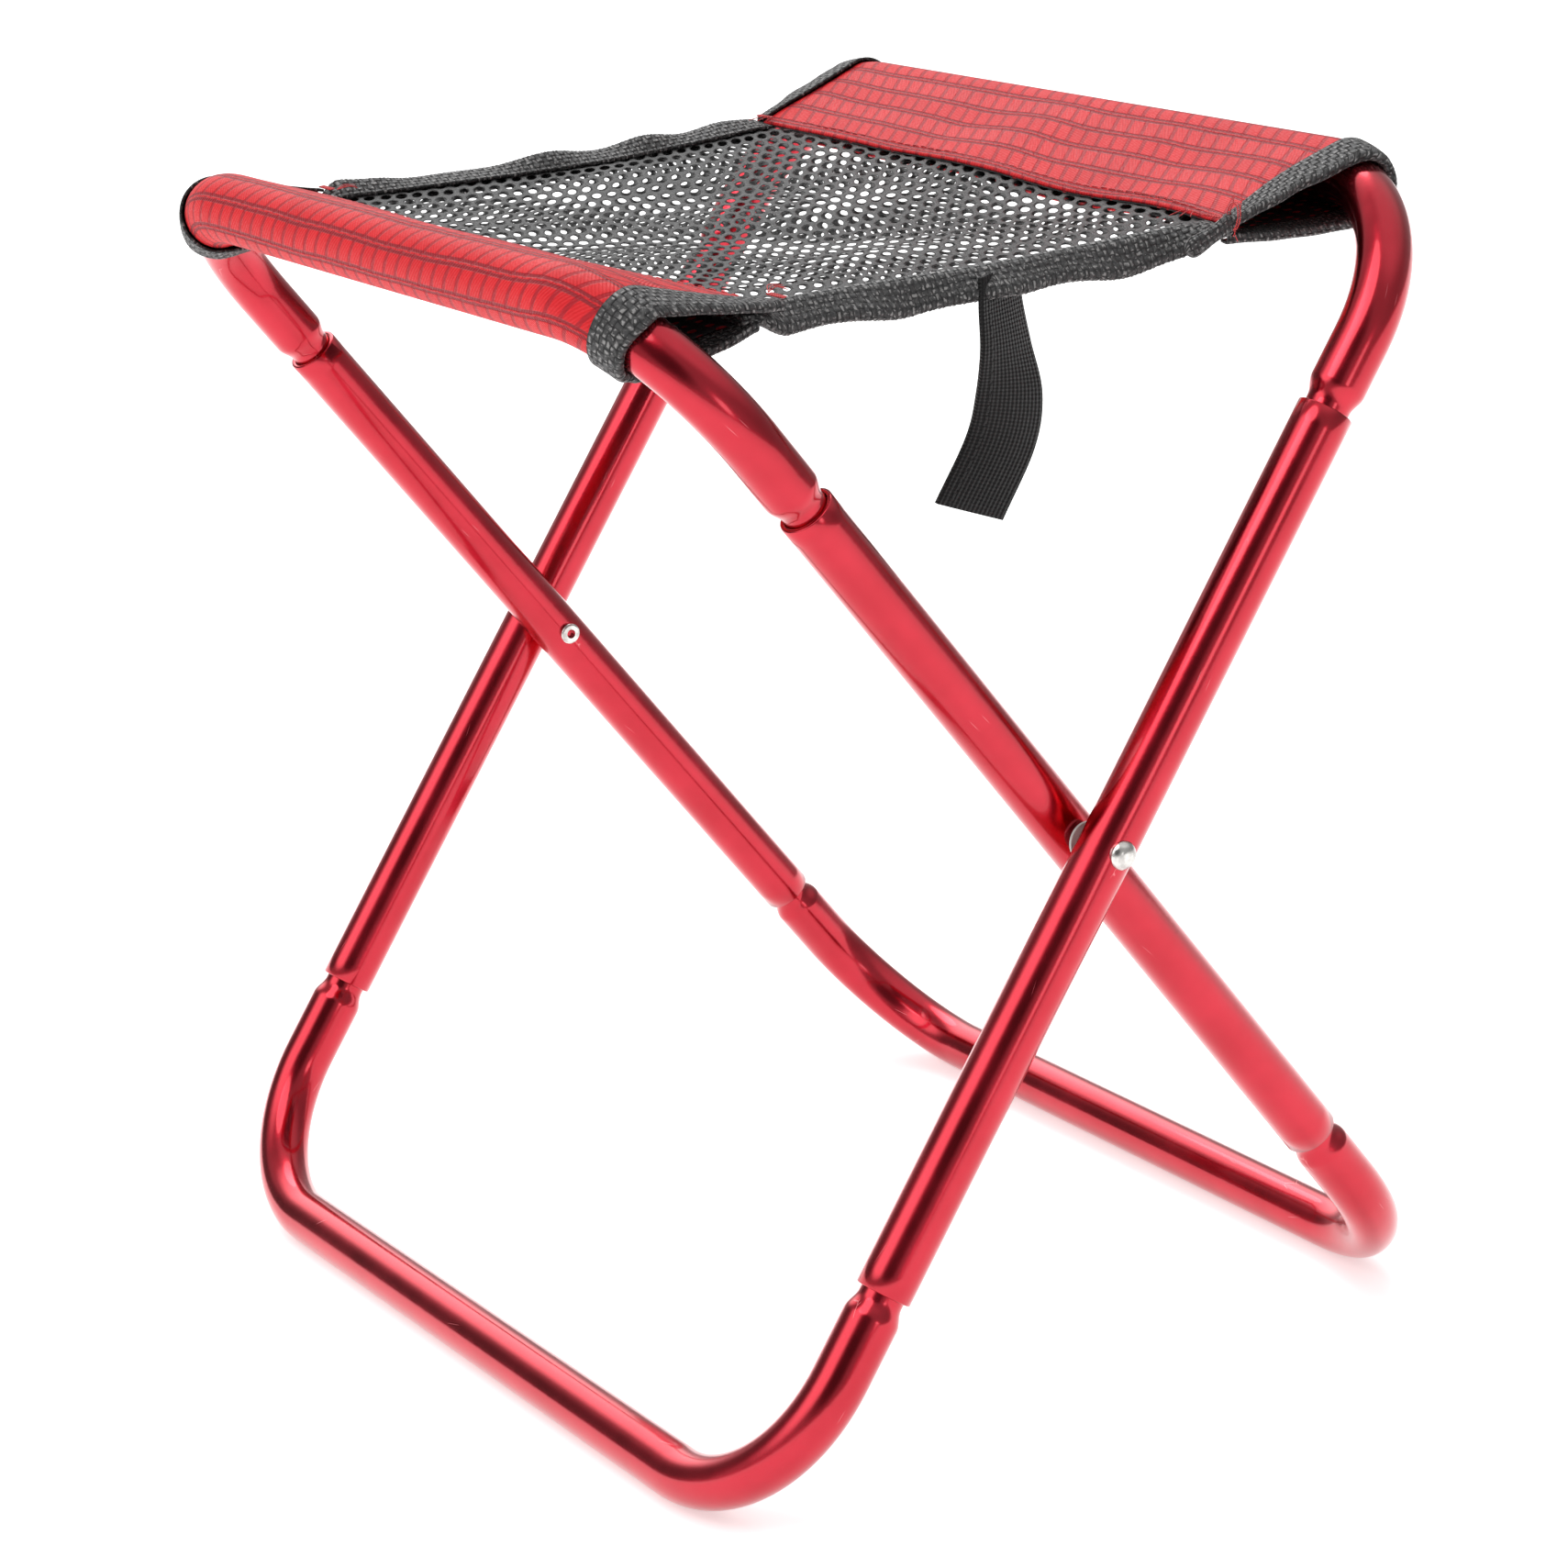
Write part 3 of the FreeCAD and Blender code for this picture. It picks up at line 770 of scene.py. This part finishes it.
def section(side, half, y, grow, tip, count):
    """Points round a sleeve at one place, from its upper sewn edge round the rail to the lower one."""
    arc_steps, sag = 60, 0.9 * MM
    centre, turn = rail_station(side, half, y)
    way = copysign(1.0, y)
    up = np.array([sin(LEAN) * cos(turn), way * sin(turn), cos(LEAN) * cos(turn)])
    aside = np.array([cos(LEAN), 0.0, -sin(LEAN)])
    radius = SLEEVE_R + grow
    seam = SEAM_Z - seam_dip(side, y)
    tip_y = y + way * corner_reach(SEAM_X, y)
    tips = []
    turns = []
    for hand, pull in ((1, HEM_PULL), (-1, LOW_PULL)):
        place = np.array([SEAM_X - pull[side] * seam_pull(side, y), tip_y, seam + hand * tip])
        a = (place - centre) @ aside
        b = (place - centre) @ up
        turns.append(atan2(b, a) - hand * acos(min(1.0, radius / hypot(a, b))))
        tips.append(place)
    first, last = turns
    while last > first:
        last -= 2 * pi
    sweep = np.linspace(first, last, arc_steps)
    arc = centre + radius * (np.outer(np.cos(sweep), aside) + np.outer(np.sin(sweep), up))
    arc[:, 2] -= sag * cos(turn) ** 2 * np.maximum(0.0, -arc[:, 2] + centre[2]) / radius
    line = np.vstack([[tips[0]], arc, [tips[1]]])
    far = distances(line)
    at = np.linspace(0, far[-1], count)
    placed = np.stack([np.interp(at, far, line[:, k]) for k in range(3)], 1)
    placed[:, 0] *= side
    return placed, far[-1]


def slack(side, y, share):
    """Loose cloth between the rail and the seam: small waves above, a hanging fold below."""
    loose = 0.34                             # share of the way round that is off the rail, at each end
    waves = 0.30 * MM * np.sin(y * 150 + side) + 0.22 * MM * np.sin(y * 71 + 2.0 * side)
    upper = np.sin(np.pi * np.clip(1 - share / loose, 0.0, 1.0)) * waves
    belly = 0.9 * MM + 0.4 * MM * np.sin(y * 83 + 1.0)
    if side < 0:
        belly += 2.0 * MM * hump(y, -SEAT_HALF, 22 * MM)
    lower = np.clip((share - 1 + loose) / loose, 0.0, 1.0)
    return upper - np.sin(np.pi * lower ** 0.7) ** 1.3 * belly


def sleeve_points(side, half, ys, grow, tip, count=ROUND):
    """Grid of sleeve points [round, along] with the cloth's slack, and the longest way round."""
    points = np.zeros((count, len(ys), 3))
    share = np.linspace(0, 1, count)
    longest = 0.0
    for j, y in enumerate(ys):
        line, length = section(side, half, y, grow, tip, count)
        line[:, 1] += narrowing(y, share)
        line[:, 2] += slack(side, y, share)
        points[:, j] = line
        longest = max(longest, length)
    return points[::-side], longest


def seat_piece(builder, name, material, slot, zone, node=None):
    """A piece of the seat, baked in place, with the CAD node it stands for hidden."""
    piece = builder.piece(name, material, slot)
    if node:
        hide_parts(node)
    start, end = ((RAIL_X * (1 - 2 * share), 0, SEAM_Z) for share in zone)
    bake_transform(piece)
    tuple(start)
    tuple(end)
    return piece


def sleeve_layer(side, past, steps, thick, grow, tip, u_sign):
    """Sheet round a rail, which ends so far past the tapes' inner edges, and its flat size."""
    half = HALVES[side][1]
    ys = np.linspace(-INNER_EDGE - past, INNER_EDGE + past, steps)
    points, way_round = sleeve_points(side, half, ys, grow, tip)
    builder = Builder()
    v = distances(points[len(points) // 2])
    add_sheet(builder, points, thick, np.linspace(0, way_round, len(points)) * u_sign, v)
    return builder, (way_round, v[-1])


def build_sleeve(side):
    word = HALVES[side][0]
    builder, flat = sleeve_layer(side, past=1 * MM, steps=120, thick=SLEEVE_T,
                                 grow=SLEEVE_T / 2 + 0.05 * MM, tip=TIP_TOP, u_sign=side)
    piece = seat_piece(builder, "sleeve_cloth_" + word, RED_CLOTH, "red_ripstop", SLEEVE_ZONE[side],
                       "seat_sleeve_" + word)
    word + "_seat_tube"


def build_lining(side):
    word = HALVES[side][0]
    builder, flat = sleeve_layer(side, past=-0.5 * MM, steps=90, thick=LINING_T,
                                 grow=-0.22 * MM, tip=TIP_TOP - 0.5 * MM, u_sign=1)
    piece = seat_piece(builder, "sleeve_lining_" + word, LINING, "black_mesh", SLEEVE_ZONE[side])
    word + "_seat_tube"


def fold_profile(width, lower, upper):
    """A tape folded in two: (distance from its sewn edge, height) points, top first."""
    middle = (upper + lower) / 2
    radius = (upper - lower) / 2
    turns = np.linspace(pi / 2, -pi / 2, 9)
    fold = [(width - radius + radius * cos(t), middle + radius * sin(t)) for t in turns]
    outs = [width * t for t in (0.0, 0.16, 0.33, 0.5, 0.67, 0.84) if width * t < width - radius - 0.3 * MM]
    return [(out, upper) for out in outs] + fold + [(out, lower) for out in reversed(outs)]


def build_mouth(side, end):
    """Tape folded over the mouth of a sleeve, with a wavering rim and fine nubs."""
    columns, under, over, nub_high, nub_rate = 190, -0.28 * MM, 1.55 * MM, 0.13 * MM, 520
    word, half = HALVES[side]
    profile = fold_profile(HEM, under, over)
    points = np.zeros((len(profile), columns, 3))
    share = np.linspace(0, 1, columns)
    rim = 0.45 * MM * np.sin(share * 23 + end) + 0.35 * MM * np.sin(share * 51 + 2 * side)
    for i, (out, grow) in enumerate(profile):
        tip = TIP_TOP + 0.9 * (grow - SLEEVE_T / 2)
        line = sleeve_points(side, half, [end * (INNER_EDGE + out)], grow, tip, columns)[0][:, 0]
        line[:, 1] += end * (rim * (out / HEM) + nub_high * np.sin(share * nub_rate) * (out / HEM) ** 3)
        points[i] = line
    across = distances(np.array(profile))
    u = across
    if end * side > 0:
        points = points[::-1]
        u = across[::-1]
    v = distances(points[3])
    builder = Builder()
    add_sheet(builder, points, TAPE_T, u, v)
    place = word + ("_front" if end < 0 else "_rear")
    piece = seat_piece(builder, "mouth_tape_" + place, TAPE, "black_tape", SLEEVE_ZONE[side],
                       "mouth_binding_" + place)
    "sleeve_cloth_" + word


# Where the rear edge tape curls up: place along X and reach in mm, and tilt in degrees
REAR_CURLS = ((-60, 5, 14), (-51, 7, 14), (-4, 10, 24), (26, 8, 24), (50, 8, 8))


def edge_shape(end, x):
    """Tilt of an edge tape from level, and how wide it shows, at one X."""
    if end < 0:
        tilt = -43 + 8 * sin(x * 118 + 0.6) + 5 * sin(x * 217 + 2.0)
        return radians(tilt), 7.4 * MM + 0.7 * MM * sin(x * 203 + 1.0)
    tilt = 12 + sum(high * hump(x / MM, middle, reach) for middle, reach, high in REAR_CURLS)
    return radians(tilt), 7.6 * MM + 0.5 * MM * sin(x * 160)


def edge_turn(end, x, out):
    """Turn of an edge tape at one X and one distance from its sewn edge, and its full width there."""
    stiff, corner_width, past = 3.0 * MM, HEM - 1.2 * MM, 1 * MM
    tilt, width = edge_shape(end, x)
    corner = SEAM_X - (LOW_PULL[1 if x > 0 else -1] if end < 0 else 0.0)
    span = 10 * MM if end < 0 else 4 * MM
    inside = smooth((abs(x) - corner + span) / (span + past))
    tilt *= 1 - 0.93 * inside
    width += (corner_width - width) * inside
    return tilt * min(1.0, (out / stiff) ** 0.8), width


def past_edge(end, x, out, level):
    """Place of a point of the edge: so far out from the seat, so high over its middle."""
    turn = edge_turn(end, x, out)[0]
    sewn = INNER_EDGE + corner_reach(x, INNER_EDGE)
    y = end * (sewn + out * cos(turn) - level * sin(turn))
    return y, seat_height(x, end * INNER_EDGE) + out * sin(turn) + level * cos(turn)


def build_edge(end):
    """Tape folded over the front or rear edge of both nets."""
    half_fold, thinning, nub_high, nub_rate = 1.3 * MM, 5 * MM, 0.16 * MM, 5200
    stop = (-SEAM_X - 3.0 * MM, CORNER_X + 0.6 * MM) if end < 0 else (-SEAM_X - 2.5 * MM, SEAM_X + 2.5 * MM)
    xs = np.linspace(*stop, 260)
    points = np.zeros((len(fold_profile(HEM, -half_fold, half_fold)), len(xs), 3))
    for j, x in enumerate(xs):
        width = edge_turn(end, x, HEM)[1] + nub_high * sin(x * nub_rate)
        thin = 1 - 0.35 * min(max((abs(x) - SEAM_X + thinning) / thinning, 0.0), 1.0)
        for i, (out, level) in enumerate(fold_profile(width, -half_fold, half_fold)):
            points[i, j] = (x, *past_edge(end, x, out, level * thin))
    points = points[::end]
    across = distances(points[:, 40])
    builder = Builder()
    add_sheet(builder, points, TAPE_T, across, xs)
    where = "front" if end < 0 else "rear"
    piece = seat_piece(builder, "edge_tape_" + where, TAPE, "black_tape", SEAT_ZONE, "edge_binding_" + where)


# ---------------------------------------------------------------- nets

HOLE = 0.325               # hole radius in a net whose neighbouring holes are 1 apart
NET_X = SEAM_X + 2.0 * MM
NET_Y = INNER_EDGE + 2.5 * MM
NET_CREST = 0.11 * MM      # half a strand's thickness
NET_WELD = 0.02 * MM       # corners nearer than this are one
NET_STEPS = ((3.9 * MM, -0.6 * MM), (5.4 * MM, 6.4 * MM))
NET_BEATS = ((-43 * MM, -43 * MM), (43 * MM, -50 * MM))


def net_cell(step_a, step_b):
    """Twelve outline points of a cell of the net, and twelve of its hole.

    The cell is a regular hexagon with a round hole, stretched to the net's own steps."""
    stretch = np.array([step_a, (step_b - step_a / 2) / sqrt(0.75)]).T
    turns = [radians(30 + 60 * k) for k in range(6)]
    corners = [np.array([cos(t), sin(t)]) / sqrt(3) for t in turns]
    outline = []
    for k in range(6):
        outline += [corners[k], (corners[k] + corners[(k + 1) % 6]) / 2]
    hole = [p / np.linalg.norm(p) * HOLE for p in outline]
    return [stretch @ p for p in outline], [stretch @ p for p in hole]


def other_net(steps, beats):
    """Steps of a second net whose holes fall in line with the first one's every beat."""
    inverse = np.linalg.inv
    return inverse(inverse(np.array(steps).T) - inverse(np.array(beats).T)).T


def net_places(steps, anchor, seed):
    """Middles of a net's cells, with a chance change of each hole's size and place."""
    rows, columns = 60, 90                   # each way from the anchor, more than the seat holds
    size_change, place_change = 0.05, 0.07 * MM
    dice = np.random.default_rng(seed)
    for row in range(-rows, rows + 1):
        for column in range(-columns, columns + 1):
            middle = np.array(anchor) + steps[0] * column + steps[1] * row
            if abs(middle[0]) <= NET_X and abs(middle[1]) <= NET_Y:
                size = 1 + size_change * dice.standard_normal()
                yield middle, size, place_change * dice.standard_normal(2)


def flat_net(steps, anchor, seed):
    """Vertices and faces of a net laid flat: strands rounded above and below round real holes."""
    ridge_place, ridge_high = 0.55, 0.85 * NET_CREST
    outline, hole = net_cell(*steps)
    verts, faces, shared, edges = [], [], {}, {}

    def corner(x, y):
        key = (round(x / NET_WELD), round(y / NET_WELD))
        if key not in shared:
            shared[key] = len(verts)
            verts.extend([(x, y, NET_CREST), (x, y, -NET_CREST)])
        return shared[key]

    for middle, size, off in net_places(steps, anchor, seed):
        outer = [corner(*(middle + point)) for point in outline]
        start = len(verts)
        for point, rim in zip(outline, hole):
            rim = rim * size + off
            x, y = middle + point * (1 - ridge_place) + rim * ridge_place
            verts.extend([(x, y, ridge_high), (x, y, -ridge_high), (*(middle + rim), 0.0)])
        for k, p in enumerate(outer):
            n = (k + 1) % len(outer)
            q = outer[n]
            a = start + 3 * k
            b = start + 3 * n
            faces += [(p, q, b, a), (a, b, b + 2, a + 2)]
            faces += [(q + 1, p + 1, a + 1, b + 1), (b + 1, a + 1, a + 2, b + 2)]
            edges.setdefault((min(p, q), max(p, q)), []).append((p, q))
    faces += [(b, a, a + 1, b + 1) for (a, b), *others in edges.values() if not others]
    return np.array(verts), faces


def build_net(name, node, steps, anchor, level, hangs, seed):
    """Knitted net with real holes, laid over the seat and out into the edge tapes."""
    flat, faces = flat_net(np.array(steps), anchor, seed)
    x, y, up = flat.T
    z = seat_height(x, y) + level + up - (net_gap(x, y) if hangs else 0.0)
    builder = Builder()
    builder.verts = np.stack([x, y + np.sign(y) * corner_reach(x, y), z], 1)
    for k in np.flatnonzero(np.abs(y) > INNER_EDGE):
        builder.verts[k, 1:] = past_edge(np.sign(y[k]), x[k], abs(y[k]) - INNER_EDGE, level + up[k])
    builder.faces = faces
    builder.uvs = [(x[k], y[k] + 0.7 * up[k]) for face in faces for k in face]
    piece = seat_piece(builder, name, NET, "black_mesh", SEAT_ZONE, node)


# ---------------------------------------------------------------- thread, tail and strap

def sleeve_top(side, x, y):
    """Height of a sleeve's upper cloth near its seam."""
    line = section(side, HALVES[side][1], y, SLEEVE_T / 2, TIP_TOP, ROUND)[0]
    upper = line[:ROUND // 3]
    order = np.argsort(side * upper[:, 0])
    return float(np.interp(side * x, side * upper[order, 0], upper[order, 2])) + SLEEVE_T / 2


def build_stitches(side):
    """Straight stitches along a sleeve's hem."""
    pitch, length, from_edge = 3.4 * MM, 2.516 * MM, 2.6 * MM
    sunk, rise, crown, rise_run = -0.3 * MM, 0.06 * MM, 0.13 * MM, 0.25 * MM
    word = HALVES[side][0]
    builder = Builder()
    y = -INNER_EDGE + 1.5 * MM
    k = 0
    while y + pitch < INNER_EDGE - 1 * MM:
        x = side * (SEAM_X + from_edge - HEM_PULL[side] * seam_pull(side, y)) + 0.12 * MM * sin(k * 1.7)
        top = sleeve_top(side, x, y)
        stops = ((0, sunk), (rise_run, rise), (length / 2, crown), (length - rise_run, rise), (length, sunk))
        line = [(x, y + run, top + high) for run, high in stops]
        add_thread(builder, line, 3, THREAD_R)
        y += pitch
        k += 1
    seat_piece(builder, "hem_stitches_" + word, THREAD, "red_thread", SLEEVE_ZONE[side],
               "seam_stitches_" + word)


def add_bar_tack(builder, side, end):
    """Zigzag of thread over a corner of the seat, with three short loose ends."""
    turns, length, half_wide = 18, 6.2 * MM, 0.7 * MM
    corner_x = SEAM_X - HEM_PULL[side] * seam_pull(side, end * SEAT_HALF)
    start = INNER_EDGE + TIP_REACH
    height = SEAM_Z - seam_dip(side, end * SEAT_HALF) + TIP_TOP + 1.85 * MM
    line = []
    for k in range(turns + 1):
        x = side * (corner_x - 0.4 * MM) + (half_wide if k % 2 else -half_wide)
        line.append((x, end * (start + 0.6 * MM + length * k / turns), height + 0.1 * MM * (k % 2)))
    add_thread(builder, line, 4, THREAD_R)
    x = side * (corner_x - 1.0 * MM)
    y = end * (start - 0.5 * MM)
    for m in range(3):
        lean = (m - 1) * 1.6 * MM
        loose = [(x, y, height), (x - side * 2.0 * MM, y - end * 1.5 * MM + lean, height + 0.9 * MM),
                 (x - side * (4.0 + m) * MM, y - end * 1.0 * MM + 1.6 * lean, height + 0.2 * MM)]
        add_thread(builder, loose, 6, 0.11 * MM)


def from_corner(points):
    """Points given in mm from the outer sleeve's front corner, as (towards +X, towards -Y, up)."""
    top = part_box("binding_tail")[1].z - CORNER_DROP
    return [(CORNER_X + x * MM, -CORNER_Y - out * MM, top + up * MM) for x, out, up in points]


def add_corner_wrap(builder):
    """Red thread wound twice round the rolled tape at the front corner, with a loop and loose ends."""
    for shift in (1.2, 1.9):
        turns = [2 * pi * k / 14 for k in range(15)]
        ring = [(shift + 0.5 * sin(t), 0.4 + 1.9 * cos(t), 0.9 + 3.1 * sin(t)) for t in turns]
        add_thread(builder, from_corner(ring), 3, 0.16 * MM)
    loop = from_corner([(1.2, 1.5, 3.4), (0.2, 2.2, 5.6), (2.4, 2.4, 5.2), (2.0, 2.0, 2.6)])
    add_thread(builder, loop, 7, 0.12 * MM)
    for aside, drop in ((1.1, 4.5), (-0.2, 3.2)):
        loose = from_corner([(1.0, 1.9, -0.8), (0.2, 2.3, -2.4), (aside, 2.2, -drop)])
        add_thread(builder, loose, 6, 0.1 * MM)


def build_tacks():
    builder = Builder()
    for side in (1, -1):
        for end in (-1, 1):
            add_bar_tack(builder, side, end)
    add_corner_wrap(builder)
    seat_piece(builder, "corner_tacks", THREAD, "red_thread", SEAT_ZONE, "corner_bar_tacks")


def build_tail():
    """Loose rolled end of the mouth's tape, past the front corner of the outer sleeve."""
    fat, high, sides, flat_wide = 1.25 * MM, 2.15 * MM, 28, 15.0 * MM
    stops = [(2.0, -0.4, -0.7), (-2.0, 0.6, -1.3), (-7.0, 1.0, -3.0), (-12.5, 0.9, -5.0)]
    spine = smooth_line(from_corner(stops), 9)
    tangent = np.gradient(spine, axis=0)
    tangent /= np.linalg.norm(tangent, axis=1, keepdims=True)
    front = np.array([0.0, -1.0, 0.0])
    tall = np.cross(tangent, front)
    tall /= np.linalg.norm(tall, axis=1, keepdims=True)
    count = len(spine)
    turns = np.linspace(0, 2 * pi, sides, endpoint=False)
    groove = 1 - 0.22 * hump(np.sin(turns), 0.15, 0.22) * (np.cos(turns) > 0)
    points = np.zeros((sides, count, 3))
    for k in range(count):
        t = k / (count - 1)
        close = sqrt(max(0.02, 1 - max(0.0, (t - 0.86) / 0.14) ** 2)) * min(1.0, 0.45 + 6 * t)
        out = np.cos(turns) * fat * (1 + 0.35 * t) * close * groove
        up = np.sin(turns) * high * (1 + 0.12 * sin(t * 9)) * close
        points[:, k] = spine[k] + np.outer(out, front) + np.outer(up, tall[k])
    builder = Builder()
    v = distances(spine)
    base = builder.grid(points, np.arange(sides + 1) * 0.5 * MM, v, wrap_u=True)
    builder.close_ends(base, sides, count, (spine[0], spine[-1]), v[-1], True)
    piece = seat_piece(builder, "tape_tail", TAPE, "black_tape", SEAT_ZONE, "binding_tail")


# The strap's middle line: x, y and height over the pivot in mm, then the turn of its width
# about Z and its roll in degrees
STRAP_LINE = (
    (5.4, -90.5, 123.0, 31, 0),
    (3.9, -93.0, 116.0, 30, -2),
    (4.3, -94.0, 106.0, 24, -5),
    (5.7, -92.5, 95.0, 10, -11),
    (4.3, -90.0, 84.0, 6, -17),
    (-3.9, -88.0, 69.5, 6, -22),
)


def build_strap():
    """Webbing sewn under the front edge, hanging with a twist."""
    wide, thick, columns, cup_deep = 20 * MM, 1.2 * MM, 25, 0.9 * MM
    path = smooth_line(STRAP_LINE, 9)
    points = np.zeros((columns, len(path), 3))
    s = np.linspace(-0.5, 0.5, columns)
    for i, (x, y, z, turn, roll) in enumerate(path):
        a = radians(turn)
        b = radians(roll)
        width = np.array([cos(a) * cos(b), sin(a) * cos(b), sin(b)]) * wide
        points[:, i] = np.array([x * MM, y * MM, z * MM + pivot.z]) + np.outer(s, width)
        points[:, i, 1] += cup_deep * (4 * s * s) * sin(i / len(path) * 3.0)
    u = distances(points[columns // 2])
    builder = Builder()
    add_sheet(builder, points, thick, np.linspace(0, wide, columns), u)
    piece = seat_piece(builder, "strap_webbing", WEBBING, "strap_webbing", SEAT_ZONE, "closing_strap")


build_net("net_upper", "seat_mesh_top", NET_STEPS, (24 * MM, 10 * MM), NET_LEVEL, False, 3)
build_net("net_lower", "seat_mesh_bottom", other_net(NET_STEPS, NET_BEATS), (27.1 * MM, 15.0 * MM),
          -NET_LEVEL, True, 5)
for side in (1, -1):
    build_sleeve(side)
    build_lining(side)
    build_stitches(side)
    for end in (-1, 1):
        build_mouth(side, end)
for end in (-1, 1):
    build_edge(end)
build_tacks()
build_tail()
build_strap()

# ---------------------------------------------------------------- floor, light and camera


def build_floor():
    mesh = bpy.data.meshes.new("floor")
    half = 8.0
    corners = [(half * x, half * y, 0) for x, y in ((-1, -1), (1, -1), (1, 1), (-1, 1))]
    mesh.from_pydata(corners, [], [(0, 1, 2, 3)])
    mesh.materials.append(pale_floor())
    floor = bpy.data.objects.new("floor", mesh)
    link(floor)


def direction(azimuth, elevation):
    """Unit vector; azimuth 0 is towards -Y and grows towards +X, in degrees."""
    a = radians(azimuth)
    e = radians(elevation)
    return Vector((sin(a) * cos(e), -cos(a) * cos(e), sin(e)))


def build_world():
    """Pale room with soft bright panels and dimmer corners."""
    level = 0.44
    # (azimuth, elevation, inner and outer radius, all in degrees, and strength or share of light left)
    panels = ((-100, 36, 5, 31, 1.8), (165, 38, 8, 33, 2.2), (-3, 10, 3, 9, 2.2), (75, 62, 20, 45, 0.45))
    corners = ((-48, 30, 12, 30, 0.2), (-145, 10, 8, 24, 0.35), (75, 5, 15, 60, 0.75))
    world = bpy.data.worlds.new("studio")
    bpy.context.scene.world = world
    world.use_nodes = True
    tree = world.node_tree
    way = put(tree, "TexCoord", output="Generated")

    def spot(azimuth, elevation, inner, outer, outside, inside):
        sockets = {0: way, 1: direction(azimuth, elevation)}
        towards = put(tree, "VectorMath", sockets, "Value", operation="DOT_PRODUCT")
        return towards.ramp(cos(radians(outer)), cos(radians(inner)), outside, inside)

    total = spot(*panels[0][:4], 0.0, panels[0][4])
    for *place, strength in panels[1:]:
        total = total + spot(*place, 0.0, strength)
    total = total + level
    for *place, share in corners:
        total = total * spot(*place, 1.0, share)
    background = tree.nodes["Background"]
    tree.links.new(total.socket, background.inputs["Strength"])
    background.inputs["Color"].default_value = (1.0, 1.0, 1.0, 1.0)


def add_light(name, azimuth, elevation, distance, size, power):
    light = bpy.data.lights.new(name, "AREA")
    light.shape = "DISK"
    light.size = size
    light.energy = power
    lamp = bpy.data.objects.new(name, light)
    target = Vector((0, 0, pivot.z))
    lamp.location = target + direction(azimuth, elevation) * distance
    lamp.rotation_euler = (target - lamp.location).to_track_quat("-Z", "Y").to_euler()
    lamp.visible_camera = False
    link(lamp)


def build_camera():
    """The camera stands where the photograph was taken from, rolled as it was held."""
    back = direction(VIEW_AZIMUTH, VIEW_ELEVATION)
    right = (-back).cross(Vector((0, 0, 1))).normalized()
    up = right.cross(-back)
    data = bpy.data.cameras.new("camera")
    data.sensor_width = VIEW_SENSOR
    data.lens = VIEW_LENS
    data.clip_start = VIEW_NEAR
    data.clip_end = VIEW_FAR
    camera = bpy.data.objects.new("camera", data)
    place = pivot + back * VIEW_DISTANCE + right * VIEW_RIGHT + up * VIEW_UP
    turn = Matrix((right, up, back)).transposed() @ Matrix.Rotation(VIEW_ROLL, 3, "Z")
    camera.matrix_world = Matrix.Translation(place) @ turn.to_4x4()
    link(camera)
    bpy.context.scene.camera = camera


build_floor()
build_world()
add_light("top_panel", -70, 62, distance=1.6, size=1.1, power=7.0)
add_light("back_panel", 150, 50, distance=1.8, size=1.0, power=6.0)
build_camera()
bpy.context.scene.view_settings.view_transform = "Standard"
